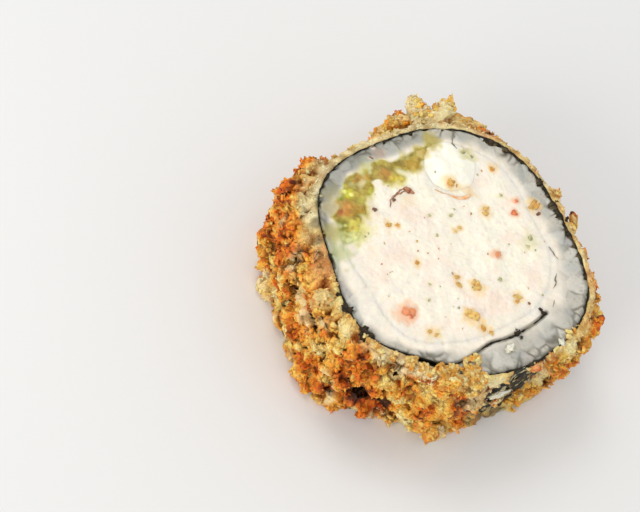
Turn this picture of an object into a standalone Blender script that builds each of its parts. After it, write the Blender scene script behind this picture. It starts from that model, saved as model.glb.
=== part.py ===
"""One slice of a deep-fried futomaki, lying on one of its two cut faces.

The slice is a short drum. From the middle outwards it holds the crab filling with
an avocado strip, a lump of cream cheese and a strip of crab stick skin beside it,
then the rice, the nori sheet that winds round it and laps over its own inner end,
and the panko crust. Every layer runs through the whole height of the slice.

Units are metres, +Z is up, and the origin is on the roll's axis, in the flat face
that the slice rests on. Angles run anticlockwise from +X, seen from above.
"""

import math
import random

import bmesh
import bpy
import numpy as np
from mathutils import Euler, Matrix, Vector, noise
from mathutils.geometry import delaunay_2d_cdt

MM = 0.001

# The slice as a whole
SLICE_HEIGHT = 20 * MM
GAP = 0.3 * MM  # left between two layers that touch

# The nori's outline: a circle with a few waves, each (count, size, angle of a crest)
RING_RADIUS = 23.4 * MM
RING_WAVES = (
    (2, 0.39 * MM, -43),
    (3, 0.34 * MM, -38),
    (4, 0.72 * MM, 63),
    (5, 0.31 * MM, 5),
    (6, 0.31 * MM, -18),
)

# The nori sheet, which winds clockwise from its inner end to its outer end
NORI_THICKNESS = 0.45 * MM
NORI_TIP = 325  # degrees, where the inner end lies
NORI_TURN = 435  # degrees from the inner end to the outer end
TAIL_INSET = 5.5 * MM  # how far the inner end lies inside the ring
TAIL_STRAIGHT = 36  # degrees that the tail runs before it bends out to the ring
TAIL_JOINED = 68  # degrees after which it is in the ring
NORI_EDGE_SINK = 0.25 * MM  # how far its cut edge lies below the face
NORI_SEGMENTS = 108

# The rice's inner wall, as a radius every 30 degrees from +X
CORE_RADII = [r * MM for r in (17.2, 16.5, 19.6, 20.4, 18.1, 20.5, 19.9, 18.2, 19.8, 17.2, 15.8, 17.0)]
CORE_SEGMENTS = 60

# The rice
RICE_SINK = 0.6 * MM  # the rice between the grains lies this far below the face
GRAIN_HALF = Vector((2.6 * MM, 1.25 * MM, 1.2 * MM))
GRAIN_SHORTEST = 0.5  # the length of the most end-on grain, as a share of the full length
GRAIN_TRIES = 5000
GRAIN_PRESS = 0.5 * MM  # how far two grains may be pressed into each other
GRAIN_PROUD = 0.4 * MM  # the most that a grain stands out of the face

# The filling
FACE_SWELL = 0.45 * MM  # how much lumps of the filling stand out of the cut face
FILLING_PITCH = 2.4 * MM  # distance between the points of its cut face
LUMP_SIZE = 5.0 * MM

# The avocado strip, inside the rice between two angles, and its widths from one end to the other
AVOCADO_FROM, AVOCADO_TO = 95, 184
AVOCADO_WIDTHS = [w * MM for w in (2.4, 3.4, 4.2, 4.0, 4.9, 4.9, 3.0)]
AVOCADO_SEGMENTS = 26

# The cream cheese, a lump whose outer side is pressed flat by the rice
CHEESE_CENTRE = Vector((0.5 * MM, 15.9 * MM))
CHEESE_HALF = (5.1 * MM, 5.3 * MM)
CHEESE_DOME = 0.9 * MM
CHEESE_SEGMENTS = 28
CHEESE_PITCH = 1.9 * MM

# The crab stick's skin, a thin strip curved under the cream cheese
SKIN_THICKNESS = 0.9 * MM
SKIN_FROM, SKIN_TO = 226, 312  # degrees round the cream cheese's middle
SKIN_SEGMENTS = 12

# The crust, as a thickness every 15 degrees from +X: first to the far side, then back
CRUST_FAR = (2.4, 1.9, 1.6, 1.6, 1.7, 2.4, 3.0, 2.5, 1.7, 2.0, 4.7, 5.6)
CRUST_NEAR = (5.7, 5.2, 4.9, 4.7, 3.8, 2.4, 2.3, 1.2, 1.8, 2.9, 3.2, 2.6)
CRUST_THICKNESSES = [t * MM for t in CRUST_FAR + CRUST_NEAR]
CRUST_SEGMENTS = 112
CRUST_WALL_ROWS = 12
CRUST_RIM_DROP = 1.0 * MM  # the rim's outer edge lies this far below the face
CRAG_SIZE = 3.8 * MM
CRAG_HEIGHT = 2.6 * MM
BARE_ANGLE, BARE_HEIGHT = 300, 11.5 * MM  # where the crust has flaked off to the nori
BARE_ROUND, BARE_UP = 8.0 * MM, 13.0 * MM  # that patch's half sizes
BARE_THICKNESS = 0.5 * MM

# Panko flakes fused to the crust. The large tufts at the rim have an angle, a height
# above the base, how far they stand out, and half sizes outwards, round and up.
TUFTS = (
    (100, 17.3, 2.4, (3.4, 2.0, 1.6)),
    (95, 16.0, 1.6, (2.4, 2.8, 2.2)),
    (90, 17.4, 1.2, (2.2, 2.2, 1.6)),
    (86, 16.6, 1.9, (3.0, 1.9, 1.8)),
    (155, 14.5, 0.8, (2.4, 2.0, 2.4)),
    (267, 3.6, 1.0, (2.2, 2.4, 1.9)),
)
FLAKES = 56
FLAKE_HALF = ((0.9, 1.5), (1.2, 2.5), (1.0, 2.1))  # least and most outwards, round and up
FLAKE_CORNERS = 12

# Fried crumbs that lie on the filling: x, y and radius, in millimetres
CRUMBS = (
    (-9.2, -12.7, 1.4),
    (2.9, -6.9, 1.3),
    (1.6, -12.8, 1.6),
    (3.9, -14.6, 1.2),
    (7.5, -0.7, 1.3),
    (11.3, -7.9, 1.1),
    (-4.6, -16.2, 1.2),
    (-0.5, -5.4, 1.0),
    (-6.8, -3.5, 1.0),
    (-10.6, 3.4, 1.1),
    (1.3, 3.9, 1.1),
    (6.1, 8.8, 1.2),
    (11.1, 9.3, 1.2),
)
CRUMB_SINK = 0.35  # the share of a crumb's height that is in the filling

# Colours: red, green, blue, roughness
COLOURS = {
    "panko_crust": (0.62, 0.30, 0.08, 0.75),
    "nori_sheet": (0.012, 0.016, 0.010, 0.55),
    "sushi_rice": (0.72, 0.74, 0.68, 0.40),
    "crab_filling": (0.88, 0.80, 0.70, 0.50),
    "avocado": (0.45, 0.42, 0.06, 0.40),
    "cream_cheese": (0.92, 0.87, 0.74, 0.45),
    "crab_stick_skin": (0.78, 0.28, 0.12, 0.45),
}


# ---------------------------------------------------------------- outlines


def smooth(value, low, high):
    """0 up to low, 1 from high on, and an even S between them."""
    share = min(1.0, max(0.0, (value - low) / (high - low)))
    return share * share * (3 - 2 * share)


def round_values(values, angle):
    """A smooth closed curve through values that are spaced evenly round the circle."""
    place = (angle % math.tau) / math.tau * len(values)
    i = int(place)
    share = place - i
    before, here, after, later = (values[(i + k) % len(values)] for k in (-1, 0, 1, 2))
    bend = (2 * before - 5 * here + 4 * after - later) * share * share
    twist = (3 * here - before - 3 * after + later) * share**3
    return here + 0.5 * ((after - before) * share + bend + twist)


def polar(radius, angle):
    return Vector((radius * math.cos(angle), radius * math.sin(angle)))


def ring_radius(angle):
    """Outside of the nori's outermost layer, without the lap."""
    waves = (size * math.cos(count * (angle - math.radians(crest))) for count, size, crest in RING_WAVES)
    return RING_RADIUS + sum(waves)


def core_radius(angle):
    return round_values(CORE_RADII, angle)


def lap_height(turned):
    """How far the outer end of the nori is lifted by the layer under it."""
    return (NORI_THICKNESS + GAP) * smooth(turned, 360 + TAIL_STRAIGHT, 360 + TAIL_JOINED - 6)


def sheet_middle(turned):
    """The nori's middle line, this many degrees after its inner end."""
    angle = math.radians(NORI_TIP - turned)
    inset = TAIL_INSET * (1 - smooth(turned, TAIL_STRAIGHT, TAIL_JOINED))
    return polar(ring_radius(angle) - NORI_THICKNESS / 2 - inset + lap_height(turned), angle)


def sheet_side(turned, offset):
    """A point beside the middle line, this far outwards."""
    along = (sheet_middle(turned + 0.5) - sheet_middle(turned - 0.5)).normalized()
    return sheet_middle(turned) + offset * Vector((-along.y, along.x))


def spread(low, high, steps):
    return [low + (high - low) * k / steps for k in range(steps + 1)]


# ---------------------------------------------------------------- mesh helpers


def add_object(name, mesh_data):
    """A visible object for this mesh, with its own material."""
    thing = bpy.data.objects.new(name, mesh_data)
    bpy.context.scene.collection.objects.link(thing)
    red, green, blue, roughness = COLOURS[name]
    material = bpy.data.materials.new(name)
    material.use_nodes = True
    shader = material.node_tree.nodes["Principled BSDF"]
    shader.inputs["Base Color"].default_value = (red, green, blue, 1)
    shader.inputs["Roughness"].default_value = roughness
    mesh_data.materials.clear()
    mesh_data.materials.append(material)
    return thing


def mesh_of(name, work):
    """Turns a bmesh into a mesh with outward normals."""
    bmesh.ops.recalc_face_normals(work, faces=work.faces)
    mesh_data = bpy.data.meshes.new(name)
    work.to_mesh(mesh_data)
    work.free()
    return mesh_data


def strip_mesh(name, left, right, across, bottom, top):
    """A solid between two edge lines. bottom and top give heights from a plan position."""
    work = bmesh.new()
    rows = []
    for start, end in zip(left, right):
        plan = [start.lerp(end, k / across) for k in range(across + 1)]
        upper = [work.verts.new((p.x, p.y, top(p))) for p in plan]
        lower = [work.verts.new((p.x, p.y, bottom(p))) for p in (plan[-1], plan[0])]
        rows.append(upper + lower)
    for row, after in zip(rows, rows[1:]):
        for k in range(len(row)):
            n = (k + 1) % len(row)
            work.faces.new((row[k], row[n], after[n], after[k]))
    work.faces.new(rows[0])
    work.faces.new(rows[-1])
    return mesh_of(name, work)


def grid_inside(outline, pitch):
    """Points in even triangles, inside the outline and not close to it."""
    reach = int(2 * RING_RADIUS / pitch)
    points = []
    for row in range(-reach, reach):
        for column in range(-reach, reach):
            point = Vector(((column + row % 2 / 2) * pitch, row * pitch * math.sqrt(3) / 2))
            near = min(outline, key=lambda p: (p - point).length)
            if (near - point).length > 0.6 * pitch and point_in(outline, point):
                points.append(point)
    return points


def point_in(outline, point):
    """True if the point is inside the closed outline."""
    inside = False
    for a, b in zip(outline, outline[1:] + outline[:1]):
        if (a.y > point.y) != (b.y > point.y) and point.x < a.x + (point.y - a.y) * (b.x - a.x) / (b.y - a.y):
            inside = not inside
    return inside


def slab_mesh(name, outline, pitch, bottom, top):
    """A solid on a closed outline, with a flat base and an even grid of points on top."""
    plan = outline + (grid_inside(outline, pitch) if pitch else [])
    rim = [(k, (k + 1) % len(outline)) for k in range(len(outline))]
    points, _, triangles, *_ = delaunay_2d_cdt(plan, rim, [], 1, 1e-7)
    work = bmesh.new()
    verts = [work.verts.new((p.x, p.y, top(p))) for p in points]
    for triangle in triangles:
        work.faces.new([verts[k] for k in triangle])
    edges = [edge for edge in work.edges if edge.is_boundary]
    made = bmesh.ops.extrude_edge_only(work, edges=edges)["geom"]
    for vert in made:
        if isinstance(vert, bmesh.types.BMVert):
            vert.co.z = bottom
    base = [edge for edge in made if isinstance(edge, bmesh.types.BMEdge) and edge.is_boundary]
    bmesh.ops.edgeloop_fill(work, edges=base)
    return mesh_of(name, work)


def prism(name, outline):
    """A tall upright cutter with this outline, taller than the slice at both ends."""
    return bpy.data.objects.new(name, slab_mesh(name, outline, None, -SLICE_HEIGHT, lambda p: 2 * SLICE_HEIGHT))


def combine(thing, others, operation):
    """Applies one Boolean between thing and the other objects, and removes those."""
    group = bpy.data.collections.new(thing.name + "_others")
    bpy.context.scene.collection.children.link(group)
    for other in others:
        group.objects.link(other)
    boolean = thing.modifiers.new("Boolean", "BOOLEAN")
    boolean.operation = operation
    boolean.operand_type = "COLLECTION"
    boolean.collection = group
    boolean.solver = "EXACT"
    bpy.context.view_layer.update()
    graph = bpy.context.evaluated_depsgraph_get()
    made = bpy.data.meshes.new_from_object(thing.evaluated_get(graph))
    thing.modifiers.clear()
    materials = list(thing.data.materials)
    thing.data = made
    made.materials.clear()
    for material in materials:
        made.materials.append(material)
    for other in others:
        bpy.data.objects.remove(other)
    bpy.data.collections.remove(group)
    keep_largest(made)


def keep_largest(mesh_data):
    """Deletes loose scraps that a Boolean has left."""
    work = bmesh.new()
    work.from_mesh(mesh_data)
    left = set(work.verts)
    islands = []
    while left:
        island, front = set(), [left.pop()]
        while front:
            vert = front.pop()
            island.add(vert)
            linked = {edge.other_vert(vert) for edge in vert.link_edges} & left
            left -= linked
            front.extend(linked)
        islands.append(island)
    islands.sort(key=len)
    scraps = [vert for island in islands[:-1] for vert in island]
    bmesh.ops.delete(work, geom=scraps, context="VERTS")
    work.to_mesh(mesh_data)
    work.free()


def shard(name, half, seed):
    """A fried flake: the convex hull of a few points scattered near an ellipsoid."""
    draw = random.Random(seed)
    work = bmesh.new()
    for _ in range(FLAKE_CORNERS):
        way = Vector((draw.gauss(0, 1), draw.gauss(0, 1), draw.gauss(0, 1))).normalized()
        work.verts.new(way * half * draw.uniform(0.8, 1.1))
    found = bmesh.ops.convex_hull(work, input=work.verts)
    bmesh.ops.delete(work, geom=found["geom_interior"], context="VERTS")
    return bpy.data.objects.new(name, mesh_of(name, work))


# ---------------------------------------------------------------- the layers


def lumpy_face(height, swell, plan, seed):
    """Height of a cut face with soft lumps in it."""
    place = Vector((plan.x / LUMP_SIZE, plan.y / LUMP_SIZE, seed))
    return height + swell * (0.7 * noise.noise(place) + 0.5 * noise.noise(place * 2.3))


def make_nori():
    turns = spread(0, NORI_TURN, NORI_SEGMENTS)
    left = [sheet_side(turned, -NORI_THICKNESS / 2) for turned in turns]
    right = [sheet_side(turned, NORI_THICKNESS / 2) for turned in turns]
    face = SLICE_HEIGHT - NORI_EDGE_SINK
    top = lambda p: lumpy_face(face, FACE_SWELL, p * 2, 3.1)
    return add_object("nori_sheet", strip_mesh("nori_sheet", left, right, 1, lambda p: GAP, top))


def rice_outline():
    """Along the nori's inner side from the wedge of the lap, round its tip, and back."""
    off = NORI_THICKNESS / 2 + GAP
    wedge_end = TAIL_JOINED - 10
    inner = [sheet_side(turned, -off) for turned in spread(360 + wedge_end, 0, 100)]
    tip = sheet_middle(0) + (sheet_middle(0) - sheet_middle(1)).normalized() * off
    outer = [sheet_side(turned, off) for turned in spread(0, wedge_end, 12)]
    return inner + [tip] + outer


def core_outline(inset):
    return [polar(core_radius(a) - inset, a) for a in spread(0, math.tau, CORE_SEGMENTS)[:-1]]


def grain_covers(plan, turn, half, margin, points):
    """True if any of the points lies on a grain or within the margin of it."""
    unturn = np.array(((math.cos(turn), -math.sin(turn)), (math.sin(turn), math.cos(turn))))
    shares = (points - np.array(plan)) @ unturn / (np.array(half.xy) + margin)
    return bool(((shares**2).sum(axis=1) < 1).any())


def grain_rim(plan, turn, half):
    """Points round a grain, and its middle."""
    rim = [plan]
    for around in spread(0, math.tau, 16):
        local = Vector((half.x * math.cos(around), half.y * math.sin(around)))
        rim.append(plan + Matrix.Rotation(turn, 2) @ local)
    return rim


def place_grains(seed):
    """Plan positions, turns and half sizes of the grains on one cut face, longest first."""
    draw = random.Random(seed)
    nori = np.array([sheet_middle(turned) for turned in spread(0, NORI_TURN, 700)])
    core = np.array([polar(core_radius(a), a) for a in spread(0, math.tau, 500)])
    taken = [Vector((0, 0))]
    grains = []
    for attempt in range(GRAIN_TRIES):
        angle = draw.uniform(0, math.tau)
        plan = polar(draw.uniform(core_radius(angle), ring_radius(angle)), angle)
        half = GRAIN_HALF * draw.uniform(0.85, 1.05)
        half.x *= 1 - (1 - GRAIN_SHORTEST) * attempt / GRAIN_TRIES
        turn = angle + math.pi / 2 + draw.gauss(0, 0.6)
        walls = ((NORI_THICKNESS / 2 + GAP, nori), (GAP, core), (-GRAIN_PRESS, np.array(taken)))
        if not any(grain_covers(plan, turn, half, margin, points) for margin, points in walls):
            grains.append((plan, turn, half))
            taken += grain_rim(plan, turn, half)
    return grains


def make_grains(seed, face, side):
    """Grains on the cut face at this height. side is 1 on the upper face, -1 on the lower."""
    mesh_data = bpy.data.meshes.new("grain")
    work = bmesh.new()
    bmesh.ops.create_uvsphere(work, u_segments=6, v_segments=4, radius=1)
    work.to_mesh(mesh_data)
    work.free()
    draw = random.Random(seed)
    made = []
    for plan, turn, half in place_grains(seed):
        grain = bpy.data.objects.new("grain", mesh_data)
        height = face - side * (half.z - GRAIN_PROUD * draw.uniform(0.2, 1.0))
        grain.matrix_world = (
            Matrix.Translation((plan.x, plan.y, height))
            @ Matrix.Rotation(turn, 4, "Z")
            @ Matrix.Rotation(draw.gauss(0, 0.16), 4, "Y")
            @ Matrix.Diagonal((*half, 1))
        )
        made.append(grain)
    return made


def make_rice():
    """The ring of rice, with the wedge inside the nori's lap, and grains on both faces."""
    work = bmesh.new()
    edges = []
    for loop in (rice_outline(), core_outline(0)):
        verts = [work.verts.new((p.x, p.y, RICE_SINK)) for p in loop]
        edges += [work.edges.new((verts[k], verts[(k + 1) % len(verts)])) for k in range(len(verts))]
    bmesh.ops.triangle_fill(work, use_beauty=True, edges=edges)
    raised = bmesh.ops.extrude_face_region(work, geom=list(work.faces))["geom"]
    rise = Vector((0, 0, SLICE_HEIGHT - 2 * RICE_SINK))
    bmesh.ops.translate(work, verts=[v for v in raised if isinstance(v, bmesh.types.BMVert)], vec=rise)
    rice = add_object("sushi_rice", mesh_of("sushi_rice", work))
    grains = make_grains(11, SLICE_HEIGHT, 1) + make_grains(23, GRAIN_PROUD + GAP / 2, -1)
    combine(rice, grains, "UNION")
    return rice


def cheese_outline(grow):
    across, along = (half + grow for half in CHEESE_HALF)
    angles = spread(0, math.tau, CHEESE_SEGMENTS)[:-1]
    return [CHEESE_CENTRE + Vector((across * math.cos(a), along * math.sin(a))) for a in angles]


def make_cheese():
    top = lambda p: SLICE_HEIGHT + CHEESE_DOME * (0.6 - (p - CHEESE_CENTRE).length_squared / CHEESE_HALF[1] ** 2)
    lump = slab_mesh("cream_cheese", cheese_outline(0), CHEESE_PITCH, GAP / 2, top)
    cheese = add_object("cream_cheese", lump)
    combine(cheese, [prism("inside_the_rice", core_outline(GAP))], "INTERSECT")
    return cheese


def avocado_width(angle):
    share = (math.degrees(angle) - AVOCADO_FROM) / (AVOCADO_TO - AVOCADO_FROM)
    place = min(1.0, max(0.0, share)) * (len(AVOCADO_WIDTHS) - 1)
    i = min(int(place), len(AVOCADO_WIDTHS) - 2)
    return AVOCADO_WIDTHS[i] + (AVOCADO_WIDTHS[i + 1] - AVOCADO_WIDTHS[i]) * smooth(place - i, 0, 1)


def avocado_edges(grow):
    """The strip's inner and outer edge. Grown, it also reaches past the rice's inner wall."""
    angles = [math.radians(a) for a in spread(AVOCADO_FROM, AVOCADO_TO, AVOCADO_SEGMENTS)]
    extra = grow / core_radius(math.radians(AVOCADO_TO)) if grow else 0
    angles = [angles[0] - extra, *angles, angles[-1] + extra] if grow else angles
    inner, outer = [], []
    for a in angles:
        wall = core_radius(a) - GAP
        inner.append(polar(wall - avocado_width(a) - grow, a))
        outer.append(polar(wall + 8 * grow, a))
    return inner, outer


def make_avocado():
    inner, outer = avocado_edges(0)
    top = lambda p: lumpy_face(SLICE_HEIGHT, 1.3 * FACE_SWELL, p * 1.6, 7.7)
    strip = strip_mesh("avocado", inner, outer, 3, lambda p: GAP / 2, top)
    avocado = add_object("avocado", strip)
    combine(avocado, [prism("room_for_cheese", cheese_outline(GAP))], "DIFFERENCE")
    return avocado


def skin_edges(grow):
    """The crab stick skin's two edges, under the cream cheese."""
    lead = math.degrees(grow / CHEESE_HALF[0])
    angles = [math.radians(a) for a in spread(SKIN_FROM - lead, SKIN_TO + lead, SKIN_SEGMENTS)]
    near, far = [], []
    for a in angles:
        way = Vector((CHEESE_HALF[0] * math.cos(a), CHEESE_HALF[1] * math.sin(a)))
        out = way.normalized()
        near.append(CHEESE_CENTRE + way + out * (GAP - grow))
        far.append(CHEESE_CENTRE + way + out * (GAP + SKIN_THICKNESS + grow))
    return near, far


def make_skin():
    near, far = skin_edges(0)
    top = lambda p: lumpy_face(SLICE_HEIGHT, FACE_SWELL, p * 2, 5.2)
    return add_object("crab_stick_skin", strip_mesh("crab_stick_skin", near, far, 1, lambda p: GAP / 2, top))


def make_crumbs(filling_top):
    crumbs = []
    for i, (x, y, radius) in enumerate(CRUMBS):
        half = Vector((radius, radius * 0.8, radius * 0.5)) * MM
        crumb = shard("crumb", half, 300 + i)
        plan = Vector((x, y)) * MM
        crumb.location = (plan.x, plan.y, filling_top(plan) + half.z * (0.5 - CRUMB_SINK))
        crumb.rotation_euler = Euler((0, 0, 1.7 * i))
        crumbs.append(crumb)
    return crumbs


def make_filling():
    """What is left of the room inside the rice, with a flat base and fried crumbs on top."""
    top = lambda p: lumpy_face(SLICE_HEIGHT, FACE_SWELL, p, 1.3)
    body = slab_mesh("crab_filling", core_outline(GAP), FILLING_PITCH, 0, top)
    filling = add_object("crab_filling", body)
    avocado_inner, avocado_outer = avocado_edges(GAP)
    skin_near, skin_far = skin_edges(GAP)
    rooms = (
        prism("room_for_avocado", avocado_inner + avocado_outer[::-1]),
        prism("room_for_cheese", cheese_outline(GAP)),
        prism("room_for_skin", skin_near + skin_far[::-1]),
    )
    for room in rooms:
        combine(filling, [room], "DIFFERENCE")
    combine(filling, make_crumbs(top), "UNION")
    return filling


def bare_share(angle, height):
    """1 in the middle of the patch where the crust has flaked off, 0 outside it."""
    across = math.remainder(angle - math.radians(BARE_ANGLE), math.tau) * RING_RADIUS
    return 1 - smooth(math.hypot(across / BARE_ROUND, (height - BARE_HEIGHT) / BARE_UP), 0.6, 1.05)


def crust_inner(angle):
    """The crust's inner wall, clear of the nori and of its lap."""
    turned = (NORI_TIP - math.degrees(angle)) % 360
    lap = lap_height(360 + turned) * (1 - smooth(turned, NORI_TURN - 360, NORI_TURN - 350))
    return ring_radius(angle) + lap + GAP


def crust_outer(angle, height):
    """The crust's outside, with crags."""
    upright = height / SLICE_HEIGHT
    rounding = 0.7 * MM * (2 * upright - 1) ** 4
    point = Vector((*(polar(RING_RADIUS, angle) / CRAG_SIZE), height / CRAG_SIZE))
    distances, middles = noise.voronoi(point)
    crease = smooth(distances[1] - distances[0], 0, 0.4)
    crag = CRAG_HEIGHT * (0.35 * noise.noise(middles[0] * 3.7) + 0.5 * crease - 0.4)
    full = round_values(CRUST_THICKNESSES, angle) - rounding + crag
    full = max(full, 2 * BARE_THICKNESS)
    bare = bare_share(angle, height)
    return crust_inner(angle) + full * (1 - bare) + BARE_THICKNESS * bare


def crust_profile(angle):
    """Points (radius, height) round the crust's section at this angle."""
    inner, top_outer = crust_inner(angle), crust_outer(angle, SLICE_HEIGHT)
    wobble = noise.noise(Vector((*(polar(4, angle)), 9.0))) * 0.5 * MM
    face = SLICE_HEIGHT - NORI_EDGE_SINK
    drop = CRUST_RIM_DROP * smooth(top_outer - inner, 0, 3 * MM)
    rim = [(inner + (top_outer - inner) * share, face + wobble * share - drop * share**2) for share in (0, 0.4, 0.8)]
    rows = spread(1, 0, CRUST_WALL_ROWS)
    top_height = rim[-1][1] - 0.4 * MM
    wall = [(crust_outer(angle, row * SLICE_HEIGHT), 0.5 * MM + row * (top_height - 0.5 * MM)) for row in rows]
    foot = wall[-1][0]
    base = [(inner + (foot - inner) * share, 0.15 * MM) for share in (0.75, 0.0)]
    return rim + wall + base


def make_crust_ring():
    work = bmesh.new()
    rows = []
    for angle in spread(0, math.tau, CRUST_SEGMENTS)[:-1]:
        points = [(polar(radius, angle), height) for radius, height in crust_profile(angle)]
        rows.append([work.verts.new((p.x, p.y, height)) for p, height in points])
    for i, row in enumerate(rows):
        after = rows[(i + 1) % len(rows)]
        for k in range(len(row)):
            n = (k + 1) % len(row)
            work.faces.new((row[k], row[n], after[n], after[k]))
    return mesh_of("panko_crust", work)


def set_on_crust(flake, angle, height, proud):
    """Puts a flake's middle outside the crust by this much, its X outwards, clear of the nori."""
    turn = flake.rotation_euler.to_matrix()
    depth = -min((turn @ vert.co).x for vert in flake.data.vertices)
    radius = max(crust_outer(angle, height) + proud, crust_inner(angle) + depth + GAP)
    flake.matrix_world = (
        Matrix.Rotation(angle, 4, "Z") @ Matrix.Translation((radius, 0, height)) @ turn.to_4x4()
    )


def make_flakes():
    flakes = []
    for i, (angle, height, proud, half) in enumerate(TUFTS):
        flake = shard("tuft", Vector(half) * MM, 40 + i)
        set_on_crust(flake, math.radians(angle), height * MM, proud * MM)
        flakes.append(flake)
    draw = random.Random(5)
    while len(flakes) < FLAKES + len(TUFTS):
        angle = draw.uniform(0, math.tau)
        height = draw.uniform(0.12, 0.93) * SLICE_HEIGHT
        half = Vector([draw.uniform(*limits) for limits in FLAKE_HALF]) * MM
        turn = Euler((draw.uniform(0, math.tau), draw.uniform(-0.4, 0.4), draw.uniform(-0.4, 0.4)))
        if bare_share(angle, height) > 0.2:
            continue
        flake = shard("flake", half, len(flakes))
        flake.rotation_euler = turn
        set_on_crust(flake, angle, max(height, 1.2 * half.length), -0.2 * half.x)
        flakes.append(flake)
    return flakes


def make_crust():
    crust = add_object("panko_crust", make_crust_ring())
    combine(crust, make_flakes(), "UNION")
    return crust


def main():
    for thing in list(bpy.data.objects):
        bpy.data.objects.remove(thing)
    make_nori()
    make_rice()
    make_avocado()
    make_cheese()
    make_skin()
    make_filling()
    make_crust()


main()
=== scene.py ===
"""Looks of one slice of a deep-fried futomaki, lying on a cut face on a pale floor.

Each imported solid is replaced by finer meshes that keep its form: a crumbly panko crust,
the nori sheet, rice with its cut grains, the crab filling, avocado, cream cheese and a
strip of crab stick skin. Colours are painted on the vertices by noise and by tables of
marks, and the materials add fine grain, gloss and bumps to them.

Units are metres, +Z is up, and angles run anticlockwise from +X, seen from above.
"""

import itertools
import math

import bmesh
import bpy
import numpy as np
from mathutils import Matrix, Vector, noise
from mathutils.bvhtree import BVHTree


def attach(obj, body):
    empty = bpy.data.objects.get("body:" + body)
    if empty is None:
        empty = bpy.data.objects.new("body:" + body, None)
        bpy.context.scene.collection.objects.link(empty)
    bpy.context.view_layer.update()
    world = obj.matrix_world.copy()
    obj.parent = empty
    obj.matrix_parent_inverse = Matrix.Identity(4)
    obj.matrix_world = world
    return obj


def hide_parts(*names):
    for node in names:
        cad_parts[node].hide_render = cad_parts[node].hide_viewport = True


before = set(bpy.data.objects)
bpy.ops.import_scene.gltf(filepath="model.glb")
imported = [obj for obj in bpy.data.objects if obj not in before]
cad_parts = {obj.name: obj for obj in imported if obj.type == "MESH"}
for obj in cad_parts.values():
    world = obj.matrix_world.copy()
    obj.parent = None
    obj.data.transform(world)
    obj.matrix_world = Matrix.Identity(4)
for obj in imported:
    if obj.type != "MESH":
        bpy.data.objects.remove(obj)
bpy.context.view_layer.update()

MM = 0.001
BODY = "root"
UP = np.array((0.0, 0.0, 1.0))

# The slice's driving dimensions, as its solids have them, apart from the dent, which they lack
SLICE_HEIGHT = 20 * MM
GAP = 0.3 * MM
RING_RADIUS = 23.4 * MM
RING_WAVES = (
    (2, 0.39 * MM, -43),
    (3, 0.34 * MM, -38),
    (4, 0.72 * MM, 63),
    (5, 0.31 * MM, 5),
    (6, 0.31 * MM, -18),
)
DENT_ANGLE, DENT_REACH, DENT_DEPTH = 250, 15, 0.7 * MM
NORI_THICKNESS = 0.45 * MM
NORI_TIP = 325
NORI_TURN = 435
TAIL_INSET = 5.5 * MM
TAIL_STRAIGHT = 36
TAIL_JOINED = 68
NORI_EDGE_SINK = 0.25 * MM
CORE_RADII = [r * MM for r in (17.2, 16.5, 19.6, 20.4, 18.1, 20.5, 19.9, 18.2, 19.8, 17.2, 15.8, 17.0)]
AVOCADO_FROM, AVOCADO_TO = 95, 184
AVOCADO_WIDTHS = [w * MM for w in (2.4, 3.4, 4.2, 4.0, 4.9, 4.9, 3.0)]
CHEESE_CENTRE = np.array((0.5 * MM, 15.9 * MM))
CHEESE_HALF = np.array((5.1 * MM, 5.3 * MM))
CHEESE_DOME = 0.9 * MM
SKIN_THICKNESS = 0.9 * MM
SKIN_FROM, SKIN_TO = 226, 312
CRUST_FAR = (2.4, 1.9, 1.6, 1.6, 1.7, 2.4, 3.0, 2.5, 1.7, 2.0, 4.7, 5.6)  # every 15 degrees
CRUST_NEAR = (5.7, 5.2, 4.9, 4.7, 3.8, 2.4, 2.3, 1.2, 1.8, 2.9, 3.2, 2.6)
CRUST_THICKNESSES = [t * MM for t in CRUST_FAR + CRUST_NEAR]
CRUST_RIM_DROP = 1.0 * MM
CRAG_SIZE = 3.8 * MM
CRAG_HEIGHT = 2.6 * MM
BARE_ANGLE, BARE_HEIGHT = 300, 11.5 * MM
BARE_ROUND, BARE_UP = 8.0 * MM, 13.0 * MM

# The photograph's camera: its tilt from the slice's axis, its turn, and where the face shows
CAMERA_TILT = math.radians(35)
CAMERA_TURN = math.radians(36)
CAMERA_LENS, CAMERA_SENSOR = 100.0, 36.0
IMAGE_WIDTH, IMAGE_HEIGHT = 640, 512
FACE_PIXEL = (453, 247)
PIXELS_PER_METRE = 6000
FACE_CENTRE = Vector((-0.3 * MM, 0.1 * MM, SLICE_HEIGHT))

# Colours as they look on a screen, 0 to 255
# The near-black end of this ramp is where the dark marks paint the shade in the crust's hollows
FRIED = (  # from the palest crumb to the darkest hole
    (0.00, (255, 236, 170)),
    (0.25, (255, 216, 110)),
    (0.50, (255, 174, 56)),
    (0.72, (244, 120, 18)),
    (0.88, (172, 70, 10)),
    (1.00, (50, 24, 10)),
)


# ---- numbers


def smooth(value, low, high):
    """0 up to low, 1 from high on, and an even S between them."""
    share = np.clip((value - low) / (high - low), 0, 1)
    return share * share * (3 - 2 * share)


def mix(first, second, share):
    """Blends two colours, or two sets of them, by a share for each point."""
    share = np.asarray(share)[..., None]
    return np.asarray(first, float) * (1 - share) + np.asarray(second, float) * share


def ramp(stops, value):
    """Colours for values between 0 and 1."""
    places = [place for place, _ in stops]
    channels = np.array([colour for _, colour in stops], float)
    return np.stack([np.interp(value, places, channels[:, k]) for k in range(3)], axis=-1)


def linear(colours):
    """Screen colours, 0 to 255, as the light that they stand for."""
    shares = np.clip(np.asarray(colours, float) / 255, 0, 1)
    return np.where(shares <= 0.04045, shares / 12.92, ((shares + 0.055) / 1.055) ** 2.4)


def shortest(turn, whole=360):
    """A turn taken the shorter way round, forwards or back."""
    return (turn + whole / 2) % whole - whole / 2


def bell(distance, reach):
    """1 in the middle, fading out over this reach."""
    return np.exp(-((distance / reach) ** 2))


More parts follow.
